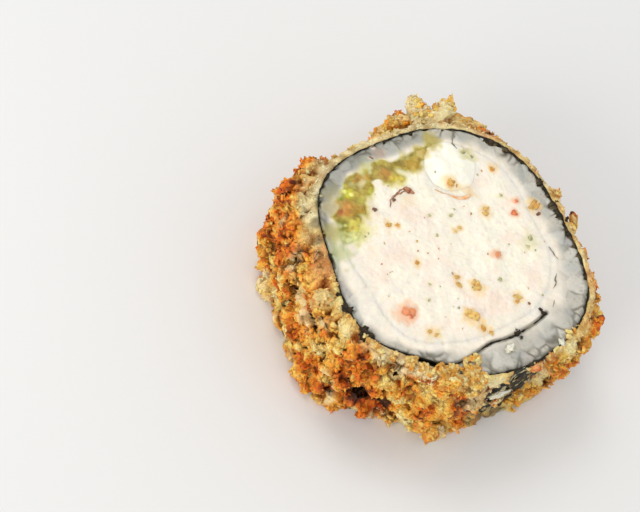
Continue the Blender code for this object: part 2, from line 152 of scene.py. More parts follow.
def unit(vectors):
    return vectors / np.maximum(np.linalg.norm(vectors, axis=-1, keepdims=True), 1e-12)


def polar(radius, angle):
    return np.stack((radius * np.cos(angle), radius * np.sin(angle)), axis=-1)


def beside(along):
    """Plan directions a quarter turn to the left of these."""
    return np.stack((-along[..., 1], along[..., 0]), axis=-1)


def circle(count):
    return np.arange(count) * math.tau / count


def lift(plan, height):
    """Plan positions with a height."""
    return np.concatenate((plan, np.broadcast_to(height, plan.shape[:-1])[..., None]), axis=-1)


# ---- noise

_draw = np.random.default_rng(7)
SHUFFLE = _draw.permutation(256)
SLOPES = unit(_draw.normal(size=(256, 3)))
MIDDLES = _draw.uniform(0.1, 0.9, (256, 3))
TONES = _draw.uniform(0, 1, 256)


def key_of(cell):
    """A number from 0 to 255 for each cell of the grid."""
    cell = cell & 255
    return SHUFFLE[(SHUFFLE[(SHUFFLE[cell[..., 0]] + cell[..., 1]) & 255] + cell[..., 2]) & 255]


def noise_at(points, size, seed):
    """Smooth noise, about -1 to 1, whose blobs have this size."""
    place = points / size + seed * 7.31
    cell = np.floor(place).astype(int)
    part = place - cell
    fade = part**3 * (part * (part * 6 - 15) + 10)
    total = np.zeros(points.shape[:-1])
    for corner in itertools.product((0, 1), repeat=3):
        step = np.array(corner)
        weight = np.where(step, fade, 1 - fade).prod(axis=-1)
        total += weight * ((part - step) * SLOPES[key_of(cell + step)]).sum(axis=-1)
    return total * 1.7


def noise_vectors(points, size, seed):
    return np.stack([noise_at(points, size, seed + k * 3.7) for k in range(3)], axis=-1)


def cells_at(points, size, seed, along=None, stretch=1.0):
    """For lumps of this size: distance to the nearest middle and to the next, in sizes, the
    nearest lump's own number from 0 to 1, and the way from its middle. Lumps can be longer
    along a given direction."""
    place = points / size + seed * 7.31
    cell = np.floor(place).astype(int)
    nearest = np.full(points.shape[:-1], 9.0)
    second = nearest.copy()
    tone = np.zeros_like(nearest)
    way = np.zeros_like(points)
    for step in itertools.product((-1, 0, 1), repeat=3):
        key = key_of(cell + np.array(step))
        offset = place - (cell + np.array(step) + MIDDLES[key])
        squared = (offset**2).sum(axis=-1)
        if along is not None:
            squared = squared - (1 - stretch**-2) * (offset * along).sum(axis=-1) ** 2
        distance = np.sqrt(np.maximum(squared, 0))
        closer = distance < nearest
        second = np.where(closer, nearest, np.minimum(second, distance))
        nearest = np.where(closer, distance, nearest)
        tone = np.where(closer, TONES[key], tone)
        way = np.where(closer[..., None], offset, way)
    return nearest, second, tone, way


# ---- the slice's outlines


def round_values(values, angle):
    """A smooth closed curve through values that are spaced evenly round the circle."""
    values = np.asarray(values)
    place = (angle % math.tau) / math.tau * len(values)
    first = np.floor(place).astype(int)
    share = place - first
    before, here, after, later = (values[(first + k) % len(values)] for k in (-1, 0, 1, 2))
    bend = (2 * before - 5 * here + 4 * after - later) * share * share
    twist = (3 * here - before - 3 * after + later) * share**3
    return here + 0.5 * ((after - before) * share + bend + twist)


def ring_radius(angle):
    """Outside of the nori's outermost layer, without the lap, with a dent that only the looks have."""
    waves = sum(size * np.cos(count * (angle - math.radians(crest))) for count, size, crest in RING_WAVES)
    turn = shortest(angle - math.radians(DENT_ANGLE), math.tau)
    return RING_RADIUS + waves - DENT_DEPTH * bell(turn, math.radians(DENT_REACH))


def core_radius(angle):
    """The rice's inner wall."""
    return round_values(CORE_RADII, angle)


def lap_height(turned):
    """How far the outer end of the nori is lifted by the layer under it."""
    return (NORI_THICKNESS + GAP) * smooth(turned, 360 + TAIL_STRAIGHT, 360 + TAIL_JOINED - 6)


def sheet_middle(turned):
    """The nori's middle line, this many degrees after its inner end."""
    angle = np.radians(NORI_TIP - turned)
    inset = TAIL_INSET * (1 - smooth(turned, TAIL_STRAIGHT, TAIL_JOINED))
    return polar(ring_radius(angle) - NORI_THICKNESS / 2 - inset + lap_height(turned), angle)


def sheet_outwards(turned):
    return beside(unit(sheet_middle(turned + 0.5) - sheet_middle(turned - 0.5)))


def turned_at(angle):
    return (NORI_TIP - np.degrees(angle)) % 360


def nori_outside(angle):
    """The nori's outer side, with its lap."""
    turned = turned_at(angle)
    lap = lap_height(360 + turned) * (1 - smooth(turned, NORI_TURN - 360, NORI_TURN - 350))
    return ring_radius(angle) + lap


def bare_share(angle, height):
    """1 in the middle of the patch where the crust has flaked off, 0 outside it, with a ragged edge."""
    turn = shortest(angle - math.radians(BARE_ANGLE), math.tau)
    distance = np.hypot(turn * RING_RADIUS / BARE_ROUND, (height - BARE_HEIGHT) / BARE_UP)
    points = lift(polar(RING_RADIUS, angle), height)
    distance = distance + 0.22 * noise_at(points, 3 * MM, 15) + 0.12 * noise_at(points, 1.1 * MM, 16)
    return 1 - smooth(distance, 0.72, 0.98)


def crag_at(angle, height):
    """The crust's coarse crags, as the solid has them."""
    point = Vector((*(polar(RING_RADIUS, angle) / CRAG_SIZE), height / CRAG_SIZE))
    distances, middles = noise.voronoi(point)
    crease = float(smooth(distances[1] - distances[0], 0, 0.4))
    return CRAG_HEIGHT * (0.35 * noise.noise(middles[0] * 3.7) + 0.5 * crease - 0.4)


def crust_outer(angle, height):
    """The crust's outside, with its crags. In the bare patch it sinks into the nori."""
    rounding = 0.7 * MM * (2 * height / SLICE_HEIGHT - 1) ** 4
    crag = np.vectorize(crag_at)(angle, height)
    full = np.maximum(round_values(CRUST_THICKNESSES, angle) - rounding + crag, 1.0 * MM)
    bare = bare_share(angle, height)
    return nori_outside(angle) + GAP + full * (1 - bare) - 0.5 * MM * bare


# ---- meshes


def mesh_object(name, points, faces, colours, material, replaced=(), sharp=False):
    """A piece with painted vertices, riding on the part, smooth or with sharp faces."""
    data = bpy.data.meshes.new(name)
    data.from_pydata(np.reshape(points, (-1, 3)).tolist(), [], faces)
    paint = data.color_attributes.new("paint", "FLOAT_COLOR", "POINT")
    flat = np.reshape(colours, (-1, 3))
    flat = np.concatenate((flat, np.ones((len(flat), 1))), axis=1)
    paint.data.foreach_set("color", flat.astype(np.float32).ravel())
    data.materials.append(material)
    if sharp:
        data.shade_flat()
    else:
        data.shade_smooth()
    thing = bpy.data.objects.new(name, data)
    bpy.context.scene.collection.objects.link(thing)
    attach(thing, BODY)
    if replaced:
        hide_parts(*replaced)
    return thing


def tube_faces(loops, around, closed):
    """Quads between loops of points, each loop closed. closed joins the last loop to the first."""
    count = loops if closed else loops - 1
    i, k = np.meshgrid(np.arange(count), np.arange(around), indexing="ij")
    after_i, after_k = (i + 1) % loops, (k + 1) % around
    corners = (i * around + k, i * around + after_k, after_i * around + after_k, after_i * around + k)
    faces = np.stack(corners, axis=-1).reshape(-1, 4).tolist()
    if not closed:
        faces.append(list(range(around))[::-1])
        faces.append([(loops - 1) * around + k for k in range(around)])
    return faces


def grid_normals(points):
    """Outward normals of a tube of points that is closed both ways."""
    across = np.roll(points, -1, 0) - np.roll(points, 1, 0)
    down = np.roll(points, -1, 1) - np.roll(points, 1, 1)
    return unit(np.cross(down, across))


def slab(plan, top, bottom):
    """Points and faces of a plate on a grid of plan positions."""
    rows, columns = plan.shape[:2]
    count = rows * columns
    index = np.arange(count).reshape(rows, columns)
    corners = (index[:-1, :-1], index[:-1, 1:], index[1:, 1:], index[1:, :-1])
    upper = np.stack(corners, axis=-1).reshape(-1, 4)
    rim = np.concatenate((index[0, :-1], index[:-1, -1], index[-1, :0:-1], index[:0:-1, 0]))
    after = np.roll(rim, -1)
    side = np.stack((rim, rim + count, after + count, after), axis=-1)
    first, second = plan[0, 1] - plan[0, 0], plan[1, 0] - plan[0, 0]
    faces = np.concatenate((upper, upper[:, ::-1] + count, side))
    if first[0] * second[1] - first[1] * second[0] < 0:
        faces = faces[:, ::-1]
    points = np.concatenate((lift(plan, top).reshape(-1, 3), lift(plan, bottom).reshape(-1, 3)))
    return points, faces.tolist()


def disc_plan(count):
    """A square grid bent into the unit disc."""
    u, v = np.meshgrid(np.linspace(-1, 1, count), np.linspace(-1, 1, count), indexing="ij")
    return np.stack((u * np.sqrt(1 - v * v / 2), v * np.sqrt(1 - u * u / 2)), axis=-1)


def ball(detail):
    """Points and faces of a unit ball, of 8 faces without detail, and else 20, 80, 320 and so on."""
    work = bmesh.new()
    if detail:
        bmesh.ops.create_icosphere(work, subdivisions=detail, radius=1)
    else:
        bmesh.ops.create_uvsphere(work, u_segments=4, v_segments=2, radius=1)
    points = np.array([v.co for v in work.verts])
    faces = np.array([[v.index for v in face.verts] for face in work.faces])
    work.free()
    return points, faces


def crumbs(places, outs, halves, detail, seed, jagged, lean=0.35):
    """Points and faces of lumpy crumbs, and how far each point faces out. outs is one way out for
    all or one for each, halves are half sizes along, across and out, and lean is how far they tip."""
    outs = np.broadcast_to(outs, places.shape)
    draw = np.random.default_rng(seed)
    shape, triangles = ball(detail)
    count = len(places)
    ways = shape[None] + draw.uniform(-40, 40, (count, 1, 3))
    swell = 1 + jagged * noise_at(ways, 0.9, seed) + 0.3 * jagged * noise_at(ways, 0.4, seed + 1)
    if detail > 1:
        swell += jagged * (0.4 - cells_at(ways, 0.5, seed + 2)[0])
    first = unit(np.cross(outs, draw.normal(size=(count, 3))))
    second = np.cross(outs, first)
    tilt = draw.normal(scale=lean, size=(count, 1))
    third = unit(outs + tilt * first)
    first = unit(np.cross(second, third))
    local = shape[None] * swell[..., None] * halves[:, None]
    turned = sum(local[..., k : k + 1] * axis[:, None] for k, axis in enumerate((first, second, third)))
    faces = (triangles[None] + (np.arange(count) * len(shape))[:, None, None]).reshape(-1, 3)
    reach = (shape[None] * third[:, None]).sum(axis=-1)
    return places[:, None] + turned, faces.tolist(), reach


# ---- materials


def fill(node, **values):
    """Sets a shader node's inputs, with _ for each space in their names. Returns the node."""
    for name, value in values.items():
        node.inputs[name.replace("_", " ")].default_value = value
    return node


def food(name, grain, rough, bumps, sink=0.0, sink_depth=1.0 * MM, gloss=0.5):
    """A moist food: the painted colour with fine grain, uneven gloss, bumps, and light that sinks in.
    grain is (size, share of brightness, change of hue), rough is (least, most), and bumps are
    (size, height) pairs."""
    material = bpy.data.materials.new(name)
    material.use_nodes = True
    nodes, links = material.node_tree.nodes, material.node_tree.links
    shader = nodes["Principled BSDF"]
    paint = nodes.new("ShaderNodeAttribute")
    paint.attribute_name = "paint"
    place = nodes.new("ShaderNodeTexCoord").outputs["Object"]

    def speckle(size):
        texture = fill(nodes.new("ShaderNodeTexNoise"), Scale=1 / size, Detail=3.0, Roughness=0.6)
        links.new(place, texture.inputs["Vector"])
        return texture.outputs["Fac"]

    def between(value, low, high):
        change = nodes.new("ShaderNodeMapRange")
        fill(change, From_Min=0.3, From_Max=0.7, To_Min=low, To_Max=high)
        links.new(value, change.inputs["Value"])
        return change.outputs["Result"]

    size, share, hue = grain
    shade = nodes.new("ShaderNodeHueSaturation")
    links.new(paint.outputs["Color"], shade.inputs["Color"])
    links.new(between(speckle(size), 1 - share, 1 + share), shade.inputs["Value"])
    links.new(between(speckle(size * 1.7), 0.5 - hue, 0.5 + hue), shade.inputs["Hue"])
    links.new(shade.outputs["Color"], shader.inputs["Base Color"])
    links.new(between(speckle(size * 2.3), *rough), shader.inputs["Roughness"])
    normal = None
    for size, height in bumps:
        bump = fill(nodes.new("ShaderNodeBump"), Distance=height)
        links.new(speckle(size), bump.inputs["Height"])
        if normal:
            links.new(normal, bump.inputs["Normal"])
        normal = bump.outputs["Normal"]
    links.new(normal, shader.inputs["Normal"])
    fill(shader, Subsurface_Weight=sink, Subsurface_Scale=sink_depth, Subsurface_Radius=(1.0, 0.75, 0.5))
    fill(shader, Specular_IOR_Level=gloss)
    return material


# ---- the crust

CRUST_ANGLES = 640
RIM_ROWS, WALL_ROWS, BASE_ROWS = 15, 66, 5
CRUST_BITE = 0.15 * MM  # how far the crust's inner wall reaches into the nori
WALL_TOP, WALL_FOOT = SLICE_HEIGHT - 1.6 * MM, 0.4 * MM
CRUST_BASE = 0.15 * MM

# Marks that show on the crust, by look: angle, radius, height and reach, in degrees and millimetres
MARKS = {
    # The dark marks are hollows, painted near black as their shade
    "dark": (
        (240, 26, 6.6, 2.9), (246, 25.4, 5.3, 2.4), (236, 27, 8.0, 1.8), (229, 27.5, 4.0, 1.4),
        (231, 27, 17.6, 0.9), (236, 26.6, 18.2, 0.8), (225, 25.2, 19.6, 1.2), (254, 24.8, 12.2, 1.7),
        (213, 28, 17.6, 1.2), (198, 29, 2, 1.5), (192, 29.5, 5, 1.2), (208, 28.5, 12.5, 1.0),
        (157, 30.5, 9, 1.2),
    ),
    "orange": (
        (150, 29.5, 17, 3.2), (155, 30.5, 12, 3.0), (161, 30, 17.5, 2.6), (168, 30, 15, 2.4),
        (184, 29, 18, 2.8), (176, 30, 12, 2.6), (190, 28.5, 17, 1.8), (218, 28, 6, 2.6),
        (236, 26.5, 14.8, 2.2), (226, 28, 15, 1.8), (268, 25.2, 16, 1.9), (262, 25.5, 9, 2.0),
        (306, 25.5, 12, 2.2), (313, 26.5, 10, 2.4), (302, 25, 18.6, 1.4), (205, 28.5, 8, 2.8),
        (199, 29, 5, 2.2), (205, 28.5, 14.5, 1.8), (212, 28, 15.5, 1.8),
    ),
    "brown": (
        (155, 30, 14.5, 1.7), (151, 29.5, 17, 1.2), (187, 28.8, 14, 1.3), (176, 29.5, 15.5, 1.2),
        (221, 28, 9, 1.3), (233, 27, 12, 1.1), (212, 28.5, 5, 1.5), (203, 28.8, 10, 1.2),
    ),
    "pale": (
        (95, 27.5, 16.5, 3.0), (84, 27.5, 16.5, 3.0), (108, 26.5, 16.5, 2.4), (76, 27, 16.5, 2.2),
        (355, 26, 17, 2.4), (338, 26, 16, 2.2), (153, 30, 3, 2.0), (179, 29.5, 7.7, 2.2),
        (193, 29, 3.4, 2.0), (220, 27, 19.4, 1.8), (217, 28, 12, 2.2), (245, 25.6, 15.8, 2.2),
        (255.5, 24.8, 16.7, 2.0), (261, 25, 14.2, 2.0), (266, 25, 12.6, 1.8), (273, 25, 17.5, 1.8),
        (250, 25.4, 9.6, 1.6), (98, 29.5, 18.5, 2.4), (86.5, 29, 18.4, 1.8), (281, 24.8, 19, 2.4),
    ),
    "gold": (
        (202, 28.5, 11, 3.2), (195, 28, 17.5, 2.6), (236, 26.4, 12.5, 2.6), (270, 26, 5, 2.8),
        (212, 28, 8, 2.2), (171, 30, 5, 2.6), (221, 27.5, 12, 2.4),
    ),
    "batter": (
        (160, 25.6, 19.5, 1.9), (170, 25.2, 19.5, 1.7), (151, 25.2, 19.5, 1.6), (180, 29, 3, 2.0),
        (193, 29, 2.4, 2.0), (205, 26.1, 19.4, 1.6), (236, 25, 19.3, 1.8), (243, 24.6, 19.4, 1.8),
        (250, 24.2, 19.4, 1.8), (248, 26, 2.6, 1.8), (278, 25, 13, 3.2), (282, 25, 17.5, 2.6),
        (284, 24.6, 14.5, 2.4), (288, 24.6, 6, 2.2),
    ),
    # The three grey marks on the rim beside the nori are painted shade; the lower ones are grey crumbs.
    "grey": (
        (174, 24.0, 19.8, 1.2), (165, 24.0, 19.8, 1.0), (182, 24.0, 19.8, 1.0), (292, 24.5, 2.6, 2.8),
        (300, 24.5, 1.6, 2.4), (284, 24.6, 7.5, 1.8), (287, 24.5, 4.5, 2.2),
    ),
}
BROWNINGS = {"dark": 1.0, "brown": 0.87, "orange": 0.76, "gold": 0.42, "pale": 0.08}
BATTER_PALE = (255, 236, 188)
BATTER_OLIVE = (234, 208, 148)
# Painted shade for the crust's creases
CREASE_SHADE = (100, 54, 14)
GREY_CRUMB_AND_SHADE = (138, 126, 92)
RIM_PALE = (250, 236, 188)
RIM_TAN = (200, 172, 118)
RIM_SHARES = (0.8, 0.8, 0.8, 1.0, 1.0, 1.0, 0.8, 0.5, 0.8, 0.6, 0.6, 0.7)  # every 30 degrees


def angle_of(points):
    return np.arctan2(points[..., 1], points[..., 0])


def side_share(points, middle, reach):
    """1 at this angle round the slice, fading out over this many degrees."""
    return bell(shortest(np.degrees(angle_of(points)) - middle), reach)


def mark_share(points, look):
    """How far each point lies inside the marks of this look, 0 to 1."""
    share = np.zeros(points.shape[:-1])
    wobble = 1 + 0.55 * noise_at(points, 1.5 * MM, 90)
    for angle, radius, height, reach in MARKS[look]:
        middle = lift(polar(radius * MM, math.radians(angle)), height * MM)
        distance = np.linalg.norm(points - middle, axis=-1) * wobble
        share = np.maximum(share, 1 - smooth(distance, 0.5 * reach * MM, 1.3 * reach * MM))
    return share


def lumps_at(points):
    """The crust's large lumps: distance to the nearest middle and the next, and the lump's number."""
    bent = points + 0.9 * MM * noise_vectors(points, 2.2 * MM, 30)
    return cells_at(bent, 3.9 * MM, 31)[:3]


def browning(points, near, lump):
    """How brown the crust is fried, about 0 to 1: palest on the lumps' crests, brown between them, partly as
    painted light on the crests and painted shade between them.
    """
    _, _, crumb, _ = cells_at(points, 1.3 * MM, 22)
    value = 0.42 + 0.38 * (lump - 0.5) + 0.6 * (near - 0.42) + 0.08 * (crumb - 0.5)
    value = value + 0.32 * noise_at(points, 6 * MM, 23) + 0.05 * noise_at(points, 0.8 * MM, 25)
    # Marks pull the browning to their look's value; the dark marks' near black is painted shade in the
    # hollows
    for look, target in BROWNINGS.items():
        value = value + (target - value) * 0.85 * mark_share(points, look)
    return value


def batter_share(points):
    """1 where smooth, pale batter shows between the crumbs, 0 elsewhere."""
    patches = smooth(noise_at(points, 4.5 * MM, 27), 0.25, 0.65)
    return np.maximum(mark_share(points, "batter"), patches)


def rim_share(points):
    """1 on the crust's cut rim, 0 on its wall."""
    angle = angle_of(points)
    out = np.linalg.norm(points[..., :2], axis=-1) - nori_outside(angle)
    width = round_values(CRUST_THICKNESSES, angle) * (1 + 0.5 * noise_at(points, 3 * MM, 26))
    top = smooth(points[..., 2], SLICE_HEIGHT - 2.0 * MM, SLICE_HEIGHT - 0.8 * MM)
    base = 1 - smooth(points[..., 2], 0.6 * MM, 1.6 * MM)
    return np.maximum(top, base) * (1 - smooth(out, 0.4 * width, 0.9 * width))


def fried_colour(points, change, crease=0.0):
    """The crust's colour at these points, as light. change browns it, and on lumps and crumbs also paints
    light where they stand or face out and shade where they sink or face down; crease paints shade into the
    creases.
    """
    near, _, lump = lumps_at(points)
    rim = rim_share(points) * round_values(RIM_SHARES, angle_of(points))
    brown = browning(points, near, lump) - 0.12 * rim + change
    colour = ramp(FRIED, np.clip(brown, 0, 1))
    batter = mix(BATTER_PALE, BATTER_OLIVE, smooth(noise_at(points, 1.6 * MM, 28) + change, -0.3, 0.7))
    colour = mix(colour, batter, 0.85 * batter_share(points))
    tan = mix(RIM_PALE, RIM_TAN, smooth(noise_at(points, 2.0 * MM, 29) + 2 * change, -0.4, 0.6))
    # The grey marks paint shade on the rim by the nori and grey crumbs low on the wall.
    colour = mix(mix(colour, tan, 0.85 * rim), GREY_CRUMB_AND_SHADE, 0.75 * mark_share(points, "grey"))
    # Painted shade in the creases
    return linear(mix(colour, CREASE_SHADE, 0.8 * crease))


def crust_grid():
    """Points of the crust's skin, angle by angle, from the nori over the rim, down and back."""
    angles = circle(CRUST_ANGLES)[:, None]
    inner = nori_outside(angles) - CRUST_BITE
    heights = np.linspace(WALL_TOP, WALL_FOOT, WALL_ROWS)[None]
    outer = crust_outer(angles + 0 * heights, heights + 0 * angles)
    width = outer[:, :1] - inner
    share = np.linspace(0, 1, RIM_ROWS)[None]
    drop = CRUST_RIM_DROP * smooth(width, 0, 3 * MM) * share**2 + 0.5 * MM * share**6
    rim_height = SLICE_HEIGHT - NORI_EDGE_SINK - drop
    base_share = np.linspace(0.96, 0, BASE_ROWS)[None]
    foot = outer[:, -1:] - inner
    radius = np.concatenate((inner + width * share, outer, inner + foot * base_share), axis=1)
    base_height = 0 * foot * base_share + CRUST_BASE
    height = np.concatenate((rim_height, heights + 0 * angles, base_height), axis=1)
    return lift(polar(radius, angles + 0 * radius), height)


def crumble(points):
    """How far fried lumps stand out, and how deep in a crease each point lies, which sets the painted shade
    in the creases.
    """
    near, second, lump = lumps_at(points)
    bent = points + 0.4 * MM * noise_vectors(points, 1.2 * MM, 32)
    small_near, small_second, small, _ = cells_at(bent, 1.7 * MM, 35)
    batter = batter_share(points)
    height = 1.3 * MM * (0.45 - near) + 0.9 * MM * (lump - 0.5) - 0.35 * MM
    height += (1 - 0.6 * batter) * (0.5 * MM * (0.5 - small_near) + 0.3 * MM * (small - 0.5))
    height += 0.2 * MM * noise_at(points, 0.8 * MM, 34)
    crease = 1 - smooth(second - near, 0.03, 0.2)
    crease = crease * smooth(noise_at(points, 3 * MM, 36), -0.5, 0.2)
    fine = 0.55 * (1 - smooth(small_second - small_near, 0, 0.16)) * (1 - batter)
    return height - 0.9 * MM * crease, np.maximum(crease, fine)


def make_crust(material):
    """The crust's body. Returns its skin, for the crumbs to sit on: points, normals and weights."""
    grid = crust_grid()
    normals = grid_normals(grid)
    rows = np.arange(grid.shape[1])
    out = np.linalg.norm(grid[..., :2], axis=-1) - nori_outside(angle_of(grid))
    by_nori = 1 - smooth(out, 0.7 * MM, 2.2 * MM)
    rough = smooth(rows, -1, 2) * (1 - 0.5 * by_nori)
    rough = rough * (1 - smooth(rows, RIM_ROWS + WALL_ROWS - 3, RIM_ROWS + WALL_ROWS + 1))
    bare = bare_share(angle_of(grid), grid[..., 2])
    height, crease = crumble(grid)
    height = np.maximum(height, -0.1 * MM - (1 - by_nori) * 5 * MM) + 0.3 * MM * by_nori
    height = height * rough - 1.8 * MM * mark_share(grid, "dark") * rough
    batter = batter_share(grid)
    grid = grid + normals * (height * (1 - bare))[..., None]
    grid[..., 2] = np.maximum(grid[..., 2], 0.05 * MM)
    # Painted shade goes into the creases, less on the rim
    crease = crease * rough * (1 - 0.4 * rim_share(grid))
    # The lumps are painted paler where they stand out and browner where they sink, partly painted light and
    # shade.
    colours = fried_colour(grid, -0.06 * height / MM, crease)
    faces = tube_faces(*grid.shape[:2], True)
    mesh_object("panko_crust_body", grid, faces, colours, material, ("panko_crust",))
    across = np.roll(grid, -1, 0) - grid
    down = np.roll(grid, -1, 1) - grid
    weight = np.linalg.norm(np.cross(across, down), axis=-1)
    weight[:, -2:] = 0
    weight = weight * (0.2 + 0.8 * smooth(height, -0.8 * MM, 0.1 * MM)) * (1 - 0.15 * batter)
    weight = weight * (0.1 + 0.9 * smooth(out, 0.1 * MM, 0.6 * MM))
    weight = weight * (1 - 0.95 * bare_share(angle_of(grid), grid[..., 2]))
    weight = weight * (1 - 0.9 * mark_share(grid, "dark"))
    return [grid.reshape(-1, 3), grid_normals(grid).reshape(-1, 3), weight.ravel()]


# Kinds of crumb: name, how many, least and most half sizes in millimetres, detail, how jagged,
# how deep they sit, how dense they are on the rim (1 is as on the wall), and how far they tip
CRUMB_KINDS = (
    ("panko_flakes", 130, (0.9, 0.7, 0.28), (1.8, 1.2, 0.45), 3, 0.6, 0.55, 0.1, 0.5),
    ("panko_crumbs", 2200, (0.4, 0.3, 0.18), (1.0, 0.7, 0.4), 2, 0.5, 0.55, 0.9, 0.6),
    ("panko_grit", 12000, (0.26, 0.16, 0.09), (0.6, 0.34, 0.2), 0, 0.4, 0.3, 1.1, 1.2),
    ("panko_dust", 8000, (0.13, 0.09, 0.06), (0.3, 0.2, 0.13), 0, 0.4, 0.3, 1.2, 1.2),
)

# Crumbs over the nori: angle, least and most radius in millimetres, reach in degrees, and how many
CREEP = (
    (262.5, 22.0, 24.4, 5.5, 30),
    (251, 22.9, 24.4, 6, 14),
    (273, 19.9, 24.2, 3.5, 34),
    (276, 22.6, 24.2, 3, 7),
    (230, 24.1, 24.8, 12, 8),
    (318, 23.4, 24.4, 8, 5),
)

PATCH_CRUMBS = 60  # on the bare nori

# Large flakes that stick out: angle, radius, height, half sizes out, round and up, and look
LARGE_FLAKES = (
    (97.5, 28.5, 18.3, (2.2, 1.7, 0.7), "cream"),
    (98.5, 29.6, 18.6, (1.1, 0.9, 0.5), "cream"),
    (93.0, 26.6, 17.6, (1.6, 3.0, 1.4), "batter"),
    (99.5, 26.2, 17.4, (1.3, 1.7, 1.4), "batter"),
    (86.8, 28.4, 18.2, (2.0, 1.2, 0.7), "cream"),
    (90.6, 28.2, 18.0, (1.1, 0.6, 0.6), "gold"),
    (85.2, 29.4, 18.4, (1.2, 0.8, 0.7), "gold"),
    (80.0, 26.8, 17.6, (1.1, 2.4, 1.1), "tan"),
    (75.0, 26.6, 17.4, (1.0, 2.1, 1.0), "tan"),
    (105.0, 26.6, 17.4, (1.4, 1.9, 1.5), "tan"),
    (109.5, 26.0, 17.2, (1.2, 1.6, 1.4), "gold"),
    (114.0, 25.2, 17.0, (1.1, 1.5, 1.3), "tan"),
    (153.0, 28.0, 16.4, (1.2, 1.6, 1.8), "gold"),
    (157.0, 29.4, 13.0, (1.2, 1.6, 1.8), "gold"),
    (20.0, 24.8, 18.2, (1.0, 1.7, 1.0), "tan"),
    (268.0, 26.2, 3.4, (1.3, 1.6, 1.5), "gold"),
    (271.5, 26.0, 2.4, (1.0, 1.2, 1.3), "cream"),
    (264.5, 25.9, 4.2, (1.0, 1.3, 1.1), "gold"),
    (205.0, 26.2, 18.9, (1.5, 1.5, 1.2), "tan"),
    (262.0, 24.6, 19.0, (1.3, 1.5, 0.8), "gold"),
    (266.5, 24.0, 19.4, (1.4, 1.3, 0.7), "tan"),
    (271.0, 23.4, 19.4, (1.2, 1.4, 0.7), "gold"),
    (255.5, 24.4, 19.2, (0.9, 1.4, 0.6), "cream"),
    (302.0, 23.9, 19.2, (0.7, 1.3, 0.5), "orange"),
    (288.5, 24.6, 13.6, (0.4, 1.7, 1.4), "white"),
    (293.0, 24.2, 8.6, (0.4, 1.0, 0.7), "cream"),
    (317.3, 23.8, 19.9, (0.9, 0.7, 0.4), "white"),
    (308.0, 24.8, 5.6, (0.6, 1.0, 0.7), "cream"),
    (293.8, 19.5, 20.1, (0.6, 0.9, 0.25), "white"),
)
FLAKE_COLOURS = {  # in the middle and at the edge
    "cream": ((250, 234, 188), (238, 202, 132)),
    "batter": ((244, 226, 172), (230, 200, 128)),
    "tan": ((240, 208, 138), (206, 146, 70)),
    "gold": ((250, 200, 100), (212, 130, 40)),
    "orange": ((244, 172, 110), (206, 96, 40)),
    "white": ((244, 240, 220), (226, 218, 188)),
}


def make_large_flakes(material):
    """The flakes of crumb that stick out far enough to be seen one by one. Returns their skin."""
    shape, triangles = ball(4)
    all_points, all_faces, all_colours = [], [], []
    for number, (angle, radius, height, half, look) in enumerate(LARGE_FLAKES):
        draw = np.random.default_rng(70 + number)
        out = lift(polar(1.0, math.radians(angle)), 0)
        axes = np.stack((out, np.cross(UP, out), UP)) + draw.normal(scale=0.18, size=(3, 3))
        ways = shape + 11.0 * number
        swell = 1 + 0.4 * noise_at(ways, 0.9, 71) + 0.34 * noise_at(ways, 0.35, 72)
        swell = swell + 0.16 * noise_at(ways, 0.16, 73) + 0.4 * (0.4 - cells_at(ways, 0.4, 74)[0])
        local = shape * swell[:, None] * np.array(half) * MM
        middle = out * radius * MM + UP * height * MM
        all_points.append(middle + local @ axes)
        all_faces.append(triangles + number * len(shape))
        inside, edge = FLAKE_COLOURS[look]
        tone = smooth(np.linalg.norm(shape[:, :2], axis=1) + 0.5 * noise_at(ways, 0.4, 75), 0.6, 1.2)
        all_colours.append(mix(inside, edge, tone))
    points, faces = np.concatenate(all_points), np.concatenate(all_faces).tolist()
    points[:, 2] = np.maximum(points[:, 2], 0.1 * MM)
    colours = linear(np.concatenate(all_colours))
    mesh_object("panko_large_flakes", points, faces, colours, material)
    middles = np.repeat([p.mean(axis=0) for p in all_points], len(shape), axis=0)
    bare = np.repeat([look == "white" for *_, look in LARGE_FLAKES], len(shape))
    area = 4 * math.pi / len(shape) * (1.5 * MM) ** 2
    return points, unit(points - middles), 0.4 * area * (1 - bare)


def make_creep(material):
    """Golden crumbs that have crept over the nori's edge and the rice beside it."""
    draw = np.random.default_rng(48)
    spots = []
    for angle, inside, outside, reach, count in CREEP:
        degrees = angle + reach * draw.uniform(-1, 1, count)
        radius = draw.uniform(inside, outside, count) * MM
        spots.append(polar(radius, np.radians(degrees)))
    plan = np.concatenate(spots)
    halves = draw.uniform((0.4, 0.3, 0.2), (0.95, 0.65, 0.45), (len(plan), 3)) * MM
    places = lift(plan, SLICE_HEIGHT - 0.1 * MM + 0.3 * halves[:, 2])
    points, faces, reach = crumbs(places, UP, halves, 3, 49, 0.6, 0.5)
    tone = smooth(noise_at(points, 1.0 * MM, 47) + draw.normal(scale=0.3, size=(len(plan), 1)), -0.6, 0.6)
    colour = mix((252, 226, 150), (232, 160, 62), tone)
    # Darker orange on the crumbs' undersides: painted shade.
    colour = mix(colour, (196, 118, 40), 0.5 * (1 - smooth(reach, -0.3, 0.4)))
    mesh_object("panko_creep", points, faces, linear(colour), material)


